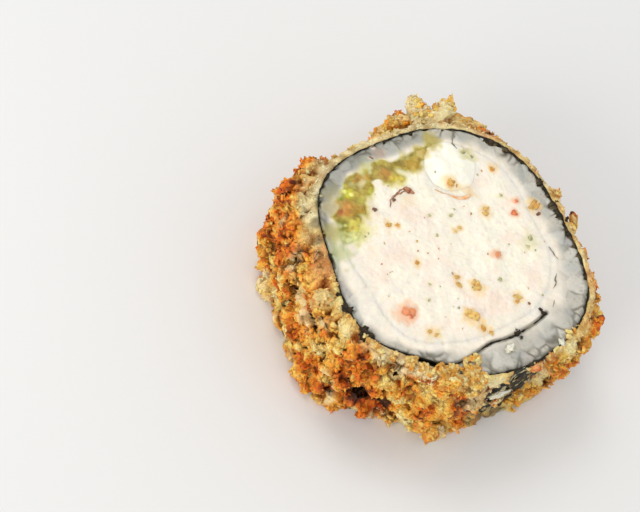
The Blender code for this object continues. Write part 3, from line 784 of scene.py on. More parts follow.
def make_crumbs(skin, material):
    """Every kind of crumb, from large to small, fried on to the crust and on to larger crumbs."""
    for seed, row in enumerate(CRUMB_KINDS, 50):
        name, count, least, most, detail, jagged, sunk, on_rim, lean = row
        draw = np.random.default_rng(seed)
        weight = skin[2] * (1 - (1 - on_rim) * rim_share(skin[0]))
        chosen = draw.choice(len(weight), count, p=weight / weight.sum())
        places, outs = skin[0][chosen], skin[1][chosen]
        least, most = np.array(least) * MM, np.array(most) * MM
        halves = least + (most - least) * draw.uniform(0, 1, (count, 1)) ** 2
        halves = halves * draw.uniform(0.8, 1.2, halves.shape)
        places = places + outs * halves[:, 2:] * (0.7 - 2 * sunk)
        points, faces, reach = crumbs(places, outs, halves, detail, seed, jagged, lean)
        points[..., 2] = np.maximum(points[..., 2], 0.02 * MM)
        own = draw.normal(scale=0.05, size=(count, 1)) - 0.16 * (draw.uniform(size=(count, 1)) < 0.1)
        # Paler where each crumb faces out and browner below: painted light on its tips and painted shade
        # underneath.
        change = own - 0.08 * smooth(reach, 0.2, 1.0) + 0.24 * (1 - smooth(reach, -0.6, 0.1))
        paint = fried_colour(points, change)
        mesh_object(name, points, faces, paint, material, sharp=detail == 0)
        if detail:
            ways = unit(points - places[:, None])
            area = np.full(reach.shape, 4 * math.pi / reach.shape[1]) * (halves[:, :1] * halves[:, 1:2])
            more = (points.reshape(-1, 3), ways.reshape(-1, 3), (area * (reach > 0.1)).ravel())
            skin = [np.concatenate(pair) for pair in zip(skin, more)]


def make_patch_crumbs(material):
    """The few pale crumbs that are left on the nori where the crust has flaked off."""
    draw = np.random.default_rng(58)
    angle = np.radians(BARE_ANGLE + 20 * draw.uniform(-1, 1, PATCH_CRUMBS))
    height = draw.uniform(2 * MM, SLICE_HEIGHT - 1 * MM, PATCH_CRUMBS)
    outs = lift(polar(1.0, angle), 0)
    halves = draw.uniform((0.2, 0.15, 0.1), (0.7, 0.5, 0.25), (PATCH_CRUMBS, 3)) * MM
    places = lift(polar(nori_outside(angle) + 0.15 * MM, angle), height)
    points, faces, _ = crumbs(places, outs, halves, 2, 57, 0.7, 0.4)
    tone = smooth(noise_at(points, 1.0 * MM, 56) + draw.normal(scale=0.4, size=(PATCH_CRUMBS, 1)), -0.6, 0.6)
    colours = linear(mix((214, 196, 150), (146, 118, 74), tone))
    mesh_object("panko_patch_crumbs", points, faces, colours, material, sharp=True)


def make_panko():
    bumps = ((0.45 * MM, 0.35 * MM), (0.16 * MM, 0.1 * MM))
    material = food("panko", (0.35 * MM, 0.16, 0.012), (0.35, 0.65), bumps, 0.35, 0.7 * MM, 0.35)
    skin, more = make_crust(material), make_large_flakes(material)
    make_crumbs([np.concatenate(pair) for pair in zip(skin, more)], material)
    make_creep(material)
    make_patch_crumbs(material)


# ---- the nori

NORI_LOOPS = 1000
NORI_WALL_ROWS, NORI_BACK_ROWS = 20, 6

# Where the sheet's upper edge is crumpled, into the rice or into the crust: angle and reach in
# degrees, and size in millimetres
FOLDS_IN = (
    (119, 1.5, 0.7), (105, 1.5, 0.7), (86, 3, 0.5), (69, 4, 0.8), (61, 1.6, 1.0), (52, 3, 0.5), (46, 3, 0.7),
    (40, 2, 1.0), (34, 3, 0.7), (28, 2.2, 1.3), (22, 2.5, 0.8), (12, 3, 0.9), (6, 2, 0.6), (1, 3, 0.7),
    (352, 1.5, 0.4), (338, 1.5, 0.4), (300, 2.5, 0.4), (228, 1.6, 0.6),
    (214, 1.6, 0.5), (186, 1.2, 0.3), (152, 1.5, 0.4), (137, 1.4, 0.4),
)
FOLDS_OUT = ((207, 1.5, 0.3), (213, 2, 0.5), (225, 2, 0.7), (24, 4, 0.2))
EDGE_GAP = (90, 2.2, 1.0)  # where the upper edge dips, written like a fold


def folds_at(angle, folds):
    """The sheet's added thickness where it is crumpled."""
    total = np.zeros(np.shape(angle))
    for middle, reach, size in folds:
        total += size * MM * bell(shortest(angle - middle), reach)
    return total


# Crumpled scraps of nori at the rim: angle, radius and half size in millimetres
SCRAPS = (
    (207, 23.4, 0.4), (213, 23.7, 0.7), (214.5, 23.2, 0.5), (224, 23.6, 0.7), (225.5, 24.2, 0.7),
    (228, 23.6, 0.5), (41, 22.8, 0.4), (61, 22.9, 0.35), (69, 23.2, 0.45), (29, 22.6, 0.35), (20, 22.6, 0.35),
    (324, 17.8, 0.5), (303, 17.9, 0.55), (303.5, 18.7, 0.4), (304, 17.2, 0.3),
)


def make_scraps(material):
    table = np.array(SCRAPS)
    places = lift(polar(table[:, 1] * MM, np.radians(table[:, 0])), SLICE_HEIGHT - 0.1 * MM)
    halves = table[:, 2:] * MM * np.array((1.2, 0.9, 0.6))
    points, faces, _ = crumbs(places, UP, halves, 3, 68, 0.9)
    colours = linear(mix((22, 18, 12), (84, 66, 42), 0.5 + 0.5 * noise_at(points, 0.6 * MM, 69)))
    mesh_object("nori_scraps", points, faces, colours, material)


def nori_half(turned, trace):
    """Half the sheet's thickness: uneven, and less where two layers lie together."""
    uneven = 0.6 + 0.5 * noise_at(trace, 2.2 * MM, 60) + 0.5 * noise_at(trace, 0.8 * MM, 61)
    half = NORI_THICKNESS / 2 * uneven
    double = smooth(turned, 52, 64) * (1 - smooth(turned, 78, 90))
    double = double + smooth(turned, NORI_TURN - 20, NORI_TURN - 8)
    tip = 1 - smooth(turned, 0.4, 2.0)
    return np.maximum(half * (1 - 0.65 * double), 0.07 * MM) + 0.2 * MM * tip


def nori_edges(trace, angle):
    """Heights of the sheet's uneven lower and upper edge."""
    gap = folds_at(angle, (EDGE_GAP,)) / MM
    top = SLICE_HEIGHT - NORI_EDGE_SINK + 0.22 * MM * noise_at(trace, 1.6 * MM, 62) - 0.7 * MM * gap
    top = top + 0.35 * smooth(folds_at(angle, FOLDS_IN), 0.4 * MM, 1.2 * MM) * MM
    return GAP * 0.5 + 0.1 * MM * (1 + noise_at(trace, 1.6 * MM, 63)), top


def nori_colour(side, bare, crumple, added):
    """The sheet's colour, as light: painted highlights on the raised crumples of the bare patch, and lighter
    on its folds.
    """
    colour = mix((16, 14, 9), (56, 50, 32), 0.5 + 0.5 * noise_at(side, 1.2 * MM, 66))
    # Painted highlights on the bare patch's raised crumples
    colour = mix(colour, (84, 76, 58), 0.55 * bare * smooth(crumple, 0.02 * MM, 0.4 * MM))
    creased = smooth(added, 0.1 * MM, 0.5 * MM) * smooth(noise_at(side, 0.6 * MM, 59), -0.3, 0.3)
    return linear(mix(colour, (140, 118, 88), 0.7 * creased))


def make_nori():
    """The sheet, wound round the rice, with an uneven cut edge."""
    turned = np.linspace(0, NORI_TURN, NORI_LOOPS)
    middle, out = sheet_middle(turned), sheet_outwards(turned)
    trace, angle = lift(middle, SLICE_HEIGHT), NORI_TIP - turned
    base, top = nori_edges(trace, angle)
    # One loop round the sheet's section: down its outer wall, and up its inner one in fewer rows
    offsets = np.concatenate((np.full(NORI_WALL_ROWS, 1.0), [0.0], np.full(NORI_BACK_ROWS, -1.0), [0.0]))
    walls = np.linspace(1, 0, NORI_WALL_ROWS), np.linspace(0, 1, NORI_BACK_ROWS)
    shares = np.concatenate((walls[0], [-0.01], walls[1], [1.01]))
    heights = base[:, None] + (top - base)[:, None] * shares[None]
    outer_layer = smooth(turned, NORI_TURN - 362, NORI_TURN - 358)
    crumpled = 1 + 0.5 * noise_at(trace, 0.7 * MM, 67) + 0.5 * noise_at(trace, 0.35 * MM, 58)
    folds = np.stack((folds_at(angle, FOLDS_IN), folds_at(angle, FOLDS_OUT))) * outer_layer * crumpled
    added = np.where(offsets < 0, folds[0][:, None], folds[1][:, None]) * smooth(shares, 0.8, 0.97)
    offset = (nori_half(turned, trace)[:, None] + added) * offsets[None]
    side = lift(middle[:, None] + out[:, None] * offset[..., None], heights)
    bare = bare_share(np.radians(angle)[:, None] + 0 * heights, heights)
    crumple = 0.16 * MM * noise_at(side, 1.5 * MM, 64) + 0.1 * MM * np.abs(noise_at(side, 0.7 * MM, 65))
    crumple = crumple * (1 + 1.6 * bare)
    side = side + lift(out, 0)[:, None] * (crumple * (offsets > 0.5))[..., None]
    colours = nori_colour(side, bare, crumple, added)
    bumps = ((0.4 * MM, 0.12 * MM), (0.12 * MM, 0.05 * MM))
    material = food("nori", (0.4 * MM, 0.3, 0.01), (0.4, 0.7), bumps, gloss=0.2)
    faces = tube_faces(*side.shape[:2], False)
    mesh_object("nori_winding", side, faces, colours, material, ("nori_sheet",))
    make_scraps(material)


# ---- bits and stains on the upper face

# Bits on the upper face, by look: x, y and half size in millimetres. That the green is herb is a guess.
BITS = {
    "pink": (
        (-9.3, -13.0, 1.05), (-8.6, -13.4, 0.5), (7.3, -0.6, 0.6), (11.4, 7.7, 0.6), (12.2, 10.3, 0.4),
    ),
    "gold": (
        (3.2, -7.2, 0.8), (2.9, -6.4, 0.5), (1.9, -13.0, 0.9), (1.2, -12.3, 0.6), (2.6, -12.5, 0.5),
        (3.8, -14.6, 0.6), (5.0, -15.1, 0.4), (10.5, -8.2, 0.6), (10.1, -9.2, 0.4), (-5.8, -16.0, 0.4),
        (-4.6, -16.4, 0.4), (0.3, 12.4, 0.85), (8.4, 16.3, 0.6), (6.3, 8.3, 0.5), (6.2, 7.2, 0.5),
        (-0.2, -5.6, 0.45), (0.1, -6.9, 0.45), (-6.8, -3.6, 0.5), (-11.4, 3.1, 0.5), (-10.0, 3.2, 0.45),
        (1.3, 3.9, 0.4), (0.4, 3.2, 0.3), (15.6, 9.9, 0.7), (14.8, 9.2, 0.5),
    ),
    "dark": (
        (12.4, -9.3, 0.3), (16.0, 8.2, 0.4), (-13.6, 5.9, 0.4), (-10.0, 8.0, 0.35), (-13.1, 18.1, 0.3),
        (-13.6, 15.9, 0.3),
    ),
    "herb": (
        (7.4, -5.3, 0.35), (-5.0, -7.2, 0.3), (-5.5, -10.3, 0.3), (-4.0, 5.7, 0.35), (-0.2, 6.1, 0.35),
        (-3.0, 2.0, 0.3), (3.3, 18.7, 0.45), (4.7, 18.3, 0.35), (9.5, 10.9, 0.4), (13.8, 3.0, 0.5),
        (13.2, 1.6, 0.4),
    ),
}
BIT_COLOURS = {  # pale, deep, and the stain round it
    "pink": ((244, 150, 104), (228, 106, 58), (250, 192, 152)),
    "gold": ((244, 198, 114), (220, 144, 58), (250, 214, 156)),
    "dark": ((154, 112, 78), (108, 72, 48), (238, 222, 204)),
    "herb": ((208, 198, 146), (168, 162, 116), (236, 230, 196)),
}
FINE_BITS = {"gold": 22, "herb": 16, "pink": 4, "dark": 0}

# Broad stains: x, y and reach in millimetres, strength and colour
STAINS = (
    (-20.6, 8.6, 2.6, 0.50, (170, 162, 116)),
    (-21.0, 5.2, 3.0, 0.50, (158, 140, 78)),
    (-21.2, 0.9, 3.2, 0.70, (168, 156, 86)),
    (-20.2, -2.8, 3.4, 0.60, (178, 186, 122)),
    (-12.0, 17.1, 1.8, 0.55, (206, 172, 150)),
    (-14.2, 14.0, 2.6, 0.45, (200, 206, 160)),
    (-2.5, 20.6, 2.8, 0.85, (184, 166, 84)),
    (-4.2, 18.2, 2.4, 0.80, (206, 182, 108)),
    (-16.6, 1.6, 3.6, 0.60, (224, 218, 128)),
    (-15.6, 4.8, 2.4, 0.45, (226, 214, 140)),
    (-9.2, 11.7, 2.4, 0.50, (240, 226, 140)),
    (-7.6, 8.4, 2.2, 0.45, (244, 218, 176)),
    (4.0, 18.6, 2.2, 0.65, (196, 184, 96)),
    (15.4, 9.6, 2.4, 0.55, (226, 186, 130)),
    (13.6, 2.4, 2.6, 0.45, (218, 206, 150)),
    (3.6, 11.2, 1.8, 0.60, (246, 206, 150)),
    (-4.0, -2.0, 9.0, 0.18, (252, 228, 214)),
    (-5.4, -16.4, 2.4, 0.40, (226, 206, 156)),
)


def stained(points, colour):
    """The colour with the upper face's stains in it."""
    wobble = 1 + 0.5 * noise_at(points, 1.1 * MM, 95)
    stains = [(x, y, 0.15 * reach, reach, strength, tint) for x, y, reach, strength, tint in STAINS]
    for look, bits in BITS.items():
        stains += [(x, y, 0.8 * half, 2.6 * half, 0.75, BIT_COLOURS[look][2]) for x, y, half in bits]
    for x, y, full, none, strength, tint in stains:
        distance = np.linalg.norm(points - np.array((x * MM, y * MM, SLICE_HEIGHT)), axis=-1) * wobble
        colour = mix(colour, tint, strength * (1 - smooth(distance, full * MM, none * MM)))
    return colour


# ---- the rice

RICE_ANGLES = 880
RICE_ROWS = 30
RICE_TUCK = 1.0 * MM  # how far the rice reaches under the filling's edge
RICE_BASE, RICE_BASE_RELIEF = 0.35 * MM, 0.3 * MM  # the lower face, and how far it may stand out
GRAIN_WIDTH = 2.6 * MM
# Where the rice is whitest, greyest, and close to the nori: angle and reach in degrees
RICE_WHITE, RICE_GREY, RICE_CLOSED = (215, 40), (143, 40), (318, 55)


def rice_wall(angle):
    """The nori's inner side, and inside its lap the outer layer's."""
    turned = turned_at(angle)
    lap = lap_height(360 + turned) * (1 - smooth(turned, TAIL_JOINED - 12, TAIL_JOINED - 4))
    return ring_radius(angle) - 0.7 * NORI_THICKNESS + lap


def tail_distance(points):
    """How far each point lies from the nori's tail, in plan."""
    tail = sheet_middle(np.linspace(0, TAIL_JOINED, 240))
    flat = points[..., :2].reshape(-1, 2)
    nearest = np.full(len(flat), 1.0)
    for spot in tail:
        nearest = np.minimum(nearest, np.hypot(*(flat - spot).T))
    return nearest.reshape(points.shape[:-1])


def grain_relief(points, share):
    """Heights of cut grains on a rice face, their seams, their own numbers and their notches by
    the nori. share is 0 at the filling and 1 at the nori."""
    lean = angle_of(points) + 0.5 * noise_at(points, 8 * MM, 70)
    along = lift(polar(1.0, lean), 0)
    bent = points + 0.3 * MM * noise_vectors(points, 1.8 * MM, 71)
    near, second, tone, _ = cells_at(bent, GRAIN_WIDTH, 72, along, 1.4)
    seam = 1 - smooth(second - near, 0, 0.16)
    seam = seam * smooth(noise_at(points, 3.5 * MM, 77) + 1.4 * share, 0.7, 1.5)
    notch = seam * smooth(share, 0.8, 0.97) * smooth(noise_at(points, 3 * MM, 76), -0.1, 0.3)
    notch = notch * (1 - 0.9 * side_share(points, *RICE_CLOSED))
    dome = 0.16 * MM * (smooth(second - near, 0, 0.5) - 0.6) + 0.04 * MM * (tone - 0.5)
    dome = dome - 0.06 * MM * seam - 0.8 * MM * notch
    dome = dome + 0.03 * MM * noise_at(points, 0.7 * MM, 73) + 0.2 * MM * noise_at(points, 4 * MM, 74)
    return dome, seam, tone, notch


def rice_colour(points, share, seam, tone, notch, tail):
    """Whitest by the filling; darkest in the seams, in the notches, by the nori and along its tail, which is
    painted shade.
    """
    edge = smooth(share + 0.05 * noise_at(points, 1.5 * MM, 79), 0.86, 1.0)
    edge = edge * (1 - 0.5 * side_share(points, *RICE_WHITE)) * (1 - 0.4 * side_share(points, *RICE_CLOSED))
    share = share + 0.2 * noise_at(points, 3 * MM, 78)
    share = share - 0.45 * side_share(points, *RICE_WHITE) * (1 - 0.6 * smooth(share, 0.6, 1.1))
    colour = mix((248, 236, 218), (196, 191, 178), smooth(share, 0.05, 0.6))
    dim = 0.6 * smooth(noise_at(points, 3.2 * MM, 75), -0.3, 0.8) * smooth(share, 0.1, 0.5)
    colour = mix(colour, (160, 164, 158), dim)
    colour = mix(colour, (126, 128, 120), 0.72 * side_share(points, *RICE_GREY) * smooth(share, 0.1, 0.6))
    colour = mix(colour, (232, 229, 220), 0.35 * smooth(tone, 0.5, 0.9) * (1 - 0.4 * smooth(share, 0.6, 1)))
    colour = mix(colour, (176, 168, 172), 0.3 * (1 - smooth(tone, 0.12, 0.3)) * smooth(share, 0.2, 0.5))
    specks = smooth(noise_at(points, 0.45 * MM, 55), 0.2, 0.7)
    colour = mix(colour, (116, 110, 96), 0.35 * specks * smooth(share, 0.3, 0.9))
    # Painted shade in the seams between grains
    colour = mix(colour, (104, 98, 84), 0.75 * seam * smooth(share, 0.2, 0.6))
    # The rice next to the nori is painted darker: painted shade
    colour = mix(colour, (96, 92, 78), 0.75 * edge)
    # Painted shade beside the nori's tail, where the rice dips
    colour = mix(colour, (70, 64, 48), 0.6 * (1 - smooth(tail, 0.15 * MM, 0.6 * MM)))
    # Painted shade in the notches beside the nori
    return mix(stained(points, colour), (30, 28, 20), 0.9 * notch)


def rice_surface(flat):
    """Relief and colour of the cut rice at these points of a cut face."""
    angle = angle_of(flat)
    core = core_radius(angle)
    share = np.clip((np.linalg.norm(flat[..., :2], axis=-1) - core) / (rice_wall(angle) - core), 0, 1)
    relief, seam, tone, notch = grain_relief(flat, share)
    tail = tail_distance(flat)
    relief = relief - 0.2 * MM * (1 - smooth(tail, 0.15 * MM, 0.5 * MM))
    relief = relief - 0.15 * MM * smooth(share, 0.88, 1.0)
    return relief, linear(smeared(flat, rice_colour(flat, share, seam, tone, notch, tail)))


def make_rice():
    """The ring of rice, both cut faces finished, and its hidden walls. Returns its mesh."""
    angles = circle(RICE_ANGLES)[:, None]
    share = np.linspace(0, 1, RICE_ROWS)[None]
    core = core_radius(angles)
    inner, outer = core - RICE_TUCK, rice_wall(angles)
    radius = inner + (outer - inner) * share
    plan = polar(radius, angles + 0 * radius)
    covered = avocado_share(plan, AVOCADO_FADE)
    sides = []
    for face, side in ((SLICE_HEIGHT, 1), (RICE_BASE, -1)):
        relief, colour = rice_surface(lift(plan, face))
        relief = relief - 0.1 * MM * covered - 0.5 * MM * (1 - smooth(radius - core, -1.0 * MM, -0.4 * MM))
        if side < 0:
            relief = np.minimum(relief, RICE_BASE_RELIEF)
        sides.append((lift(plan, face + side * relief), colour))
    (top, top_colour), (base, base_colour) = sides
    points = np.concatenate((top, base[:, ::-1]), axis=1)
    colours = np.concatenate((top_colour, base_colour[:, ::-1]), axis=1)
    bumps = ((0.5 * MM, 0.06 * MM), (0.2 * MM, 0.02 * MM))
    material = food("rice", (0.6 * MM, 0.04, 0.003), (0.4, 0.65), bumps, 0.5, 1.6 * MM, 0.4)
    faces = tube_faces(*points.shape[:2], True)
    return mesh_object("rice_ring", points, faces, colours, material, ("sushi_rice",))


# ---- the filling

FILLING_GRID = 165
FILLING_REACH = 0.9 * MM  # how far the filling spills over the rice's inner wall
SHRED_FROM = np.array((-12.9, 10.9)) * MM  # a shred of crab that lies across the avocado
SHRED_TO = np.array((-11.7, 6.8)) * MM
AVOCADO_FADE, SMEAR_FADE = 1.6 * MM, 2.8 * MM  # how far the avocado and its smear thin out
BASE_HEIGHT = 0.3 * MM  # the lower cut face
BASE_RELIEF = 0.25 * MM  # how far it may stand out
FACE_SEEDS = (100, 130)  # of the filling's noise on the upper and the lower face
CHEESE_SEEDS = (180, 185)
SKIN_SEEDS = (190, 195)


def avocado_line(share):
    """The avocado strip's inner and outer edge at a share of its length."""
    degrees = AVOCADO_FROM + (AVOCADO_TO - AVOCADO_FROM) * share
    angle = np.radians(degrees)
    place = share * (len(AVOCADO_WIDTHS) - 1)
    first = np.minimum(place.astype(int), len(AVOCADO_WIDTHS) - 2)
    widths = np.array(AVOCADO_WIDTHS)
    width = widths[first] + (widths[first + 1] - widths[first]) * smooth(place - first, 0, 1)
    wall = core_radius(angle) - GAP
    return wall - width, wall, angle


def shred_share(plan):
    """1 on the long shred of crab that crosses the avocado, 0 off it."""
    way = SHRED_TO - SHRED_FROM
    along = np.clip(((plan - SHRED_FROM) @ way) / (way @ way), 0, 1)
    distance = np.linalg.norm(plan - SHRED_FROM - along[..., None] * way, axis=-1)
    return 1 - smooth(distance + 0.3 * MM * noise_at(lift(plan, 0), 1.0 * MM, 99), 0.4 * MM, 1.3 * MM)


def avocado_share(plan, fade):
    """1 where the avocado shows on a cut face, 0 elsewhere: ragged, with crab and rice across it.
    fade is how far it thins out at its edges."""
    flat = lift(plan, 0)
    share = (np.degrees(angle_of(plan)) % 360 - AVOCADO_FROM) / (AVOCADO_TO - AVOCADO_FROM)
    inner, outer, _ = avocado_line(np.clip(share, 0, 1))
    ragged = 1.4 * MM * noise_at(flat, 2.6 * MM, 96) + 0.6 * MM * noise_at(flat, 1.1 * MM, 97)
    radius = np.linalg.norm(plan, axis=-1) + ragged
    inside = smooth(radius, inner + 0.9 * MM - 0.7 * fade, inner + 1.5 * MM + 0.4 * fade)
    inside = inside * (1 - smooth(radius, outer - 0.2 * fade, outer + 0.8 * fade))
    inside = inside * smooth(share, -0.02, 0.03) * (1 - smooth(share, 0.97, 1.02))
    holes = smooth(noise_at(flat, 2.2 * MM, 98), 0.25 - 0.15 * fade / MM, 0.5 + 0.2 * fade / MM)
    return inside * (1 - 0.9 * holes) * (1 - 0.9 * shred_share(plan))


def smeared(points, colour):
    """The colour with a smear of avocado over it, which fades out round the strip."""
    smear = avocado_share(points[..., :2], SMEAR_FADE)
    green = mix(avocado_colour(points), (212, 208, 120), 0.6 * (1 - smooth(smear, 0.3, 0.8)))
    return mix(colour, green, 0.92 * smooth(smear, 0.0, 0.75))


def in_cheese(plan):
    """1 under the cream cheese, 0 beside it."""
    shares = np.linalg.norm((plan - CHEESE_CENTRE) / CHEESE_HALF, axis=-1)
    return 1 - smooth(shares, 0.72, 0.95)


def shreds(points, seed):
    """Relief of fine crab shreds that lie every way."""
    bent = points + 0.8 * MM * noise_vectors(points, 2.5 * MM, seed)
    near, second, tone, way = cells_at(bent, 3.2 * MM, seed + 1)
    along = polar(1.0, tone * 40)
    lengthways = (way[..., :2] * along).sum(axis=-1)
    across = way[..., 0] * along[..., 1] - way[..., 1] * along[..., 0]
    fibre = noise_at(np.stack((lengthways / 5, across, tone * 50), axis=-1), 0.14, seed + 2)
    body = smooth(second - near, 0, 0.25)
    return body * (0.08 * MM * fibre + 0.12 * MM * (tone - 0.5))


def filling_relief(flat, seed):
    lumps = 0.3 * MM * noise_at(flat, 5 * MM, seed + 5) + 0.12 * MM * noise_at(flat, 2 * MM, seed + 6)
    return lumps + shreds(flat, seed) + 0.07 * MM * noise_at(flat, 0.7 * MM, seed + 7)


def filling_colour(points, depth, seed):
    """The crab's colour, as light, duller at its edge, with the stains and the avocado's smear."""
    colour = mix((254, 243, 224), (252, 230, 212), smooth(noise_at(points, 4 * MM, seed), -0.2, 0.8))
    colour = mix(colour, (244, 236, 224), 0.6 * smooth(noise_at(points, 3 * MM, seed + 1), 0.0, 0.9))
    colour = mix(colour, (240, 228, 210), 0.7 * (1 - smooth(depth, 0, 3.0 * MM)))
    colour = mix(colour, (226, 216, 204), 0.35 * smooth(noise_at(points, 0.7 * MM, seed + 2), 0.1, 0.7))
    return linear(smeared(points, stained(points, colour)))


def salad_surface(flat, seed):
    """Relief and colour of a cut face: the filling, which thins out over the rice."""
    depth = core_radius(angle_of(flat)) + FILLING_REACH - np.linalg.norm(flat[..., :2], axis=-1)
    rice, rice_paint = rice_surface(flat)
    thin = 1 - smooth(depth + 0.5 * MM * noise_at(flat, 2 * MM, seed + 4), 1.5 * MM, 4.0 * MM)
    relief = filling_relief(flat, seed) * (1 - thin) + rice * thin
    return relief, mix(filling_colour(flat, depth, seed + 8), rice_paint, thin)


def two_faced(name, plan, surface, seeds, material, replaced):
    """A plate on these plan positions. surface gives a cut face's relief and colour from its
    points and its seed. Returns the plate's mesh."""
    heights, colours = [], []
    for face, side, seed in zip((SLICE_HEIGHT, BASE_HEIGHT), (1, -1), seeds):
        relief, colour = surface(lift(plan, face), seed)
        if side < 0:
            relief = np.minimum(relief, BASE_RELIEF)
        heights.append(face + side * relief)
        colours.append(colour)
    points, faces = slab(plan, *heights)
    return mesh_object(name, points, faces, np.stack(colours), material, (replaced,))


def make_filling(material):
    """The crab filling, lower under the cream cheese and the avocado. Returns its mesh."""
    disc = disc_plan(FILLING_GRID)
    reach = core_radius(angle_of(disc)) + FILLING_REACH
    depth = (1 - np.linalg.norm(disc, axis=-1)) * reach
    plan = disc * reach[..., None]
    avocado = avocado_share(plan, AVOCADO_FADE)

    def surface(flat, seed):
        relief, colour = salad_surface(flat, seed)
        relief = relief + 0.03 * MM - 0.06 * MM * (1 - smooth(depth, 0.1 * MM, 1.9 * MM))
        relief = relief - 0.4 * MM * (1 - smooth(depth, 0, 0.3 * MM)) - 1.2 * MM * in_cheese(plan)
        return relief - 0.1 * MM * avocado + 0.15 * MM * shred_share(plan), colour

    return two_faced("crab_salad", plan, surface, FACE_SEEDS, material, "crab_filling")


# Patches of the avocado strip: x, y and reach in millimetres, and their colour
AVOCADO_PATCHES = (
    (-18.3, 8.5, 1.5, (206, 206, 36)),
    # The two palest yellow patches are painted highlights
    (-18.7, 8.9, 0.6, (250, 250, 150)),
    (-17.6, 8.3, 0.5, (248, 246, 140)),
    (-19.3, 7.2, 1.2, (126, 132, 14)),
    (-19.0, 5.5, 2.1, (196, 128, 38)),
    (-18.0, 5.9, 0.7, (228, 160, 70)),
    (-19.6, 4.9, 0.6, (160, 84, 20)),
    (-16.4, 5.8, 1.5, (170, 132, 26)),
    (-15.8, 7.2, 1.0, (178, 168, 60)),
    (-19.2, 2.3, 1.5, (112, 112, 10)),
    (-17.0, 2.1, 1.9, (222, 208, 84)),
    (-19.6, -0.6, 2.4, (186, 196, 124)),
    (-17.6, -1.0, 2.2, (214, 220, 156)),
    (-17.0, 0.6, 1.4, (222, 222, 140)),
    (-15.2, 11.3, 1.4, (204, 140, 36)),
    (-14.4, 10.4, 1.3, (160, 138, 14)),
    (-14.1, 8.7, 1.2, (198, 196, 66)),
    (-12.4, 12.6, 1.4, (182, 160, 60)),
    (-11.2, 12.9, 1.4, (184, 130, 44)),
    (-9.2, 11.8, 1.6, (232, 206, 66)),
    (-8.2, 13.6, 1.3, (190, 172, 60)),
    (-6.0, 15.2, 1.8, (178, 140, 30)),
    (-6.4, 13.6, 1.2, (206, 180, 76)),
    (-4.4, 17.6, 1.4, (204, 180, 100)),
    (-2.5, 20.4, 1.7, (176, 160, 74)),
)


def avocado_colour(points):
    streaks = noise_at(points, 1.8 * MM, 164) + 0.3 * noise_at(points, 0.6 * MM, 161)
    colour = mix((186, 166, 56), (136, 112, 14), smooth(streaks, -0.5, 0.5))
    # Paler patches by noise: painted highlights on the mashed flesh
    colour = mix(colour, (218, 202, 130), 0.45 * smooth(noise_at(points, 1.5 * MM, 165), 0.25, 0.8))
    wobble = 1 + 0.6 * noise_at(points, 0.9 * MM, 166)
    for x, y, reach, patch in AVOCADO_PATCHES:
        distance = np.hypot(points[..., 0] - x * MM, points[..., 1] - y * MM) * wobble
        colour = mix(colour, patch, 0.9 * (1 - smooth(distance, 0.4 * reach * MM, 1.15 * reach * MM)))
    return mix(colour, (124, 82, 16), 0.35 * smooth(noise_at(points, 0.8 * MM, 167), 0.0, 0.8))


def make_avocado():
    """The strip of mashed avocado, ragged at its edges. Returns its mesh."""
    share, across = np.meshgrid(np.linspace(0, 1, 230), np.linspace(0, 1, 44), indexing="ij")
    inner, outer, angle = avocado_line(share)
    inner, outer = inner - 1.8 * MM, outer + 1.8 * MM
    plan = polar(inner + (outer - inner) * across, angle)
    hidden = 1 - avocado_share(plan, AVOCADO_FADE)

    def surface(flat, seed):
        relief, colour = salad_surface(flat, seed)
        relief = relief + 0.1 * MM * noise_at(flat, 1.1 * MM, 162) + 0.06 * MM * noise_at(flat, 0.5 * MM, 163)
        return relief + 0.08 * MM - 0.3 * MM * hidden, colour

    bumps = ((0.5 * MM, 0.1 * MM), (0.2 * MM, 0.03 * MM))
    material = food("avocado_flesh", (0.5 * MM, 0.08, 0.01), (0.25, 0.5), bumps, 0.4, 1.4 * MM)
    return two_faced("avocado_strip", plan, surface, FACE_SEEDS, material, "avocado")


def make_cheese():
    """The lump of cream cheese. Returns its mesh."""
    disc = disc_plan(60)
    plan = CHEESE_CENTRE + disc * (CHEESE_HALF + 0.4 * MM)
    plan = plan + 0.35 * MM * noise_vectors(lift(plan, 0), 3 * MM, 186)[..., :2]
    limit = core_radius(angle_of(plan)) + 0.2 * MM
    plan = plan * np.minimum(1, limit / np.linalg.norm(plan, axis=-1))[..., None]
    edge = 1 - np.linalg.norm(disc, axis=-1)

    def surface(flat, seed):
        relief = CHEESE_DOME * (0.75 * smooth(edge, 0, 0.7) - 0.1) + 0.2 * MM * noise_at(flat, 2.5 * MM, seed)
        relief = relief + 0.06 * MM * noise_at(flat, 0.9 * MM, seed + 1)
        relief = relief - 0.5 * MM * (1 - smooth(edge, 0, 0.15))
        colour = mix((255, 250, 232), (253, 242, 212), smooth(noise_at(flat, 2.5 * MM, seed + 2), 0, 1))
        return relief, linear(stained(flat, colour))

    bumps = ((0.8 * MM, 0.06 * MM), (0.25 * MM, 0.02 * MM))
    material = food("cheese", (0.5 * MM, 0.02, 0.003), (0.3, 0.5), bumps, 0.3, 1.4 * MM)
    return two_faced("cheese_lump", plan, surface, CHEESE_SEEDS, material, "cream_cheese")


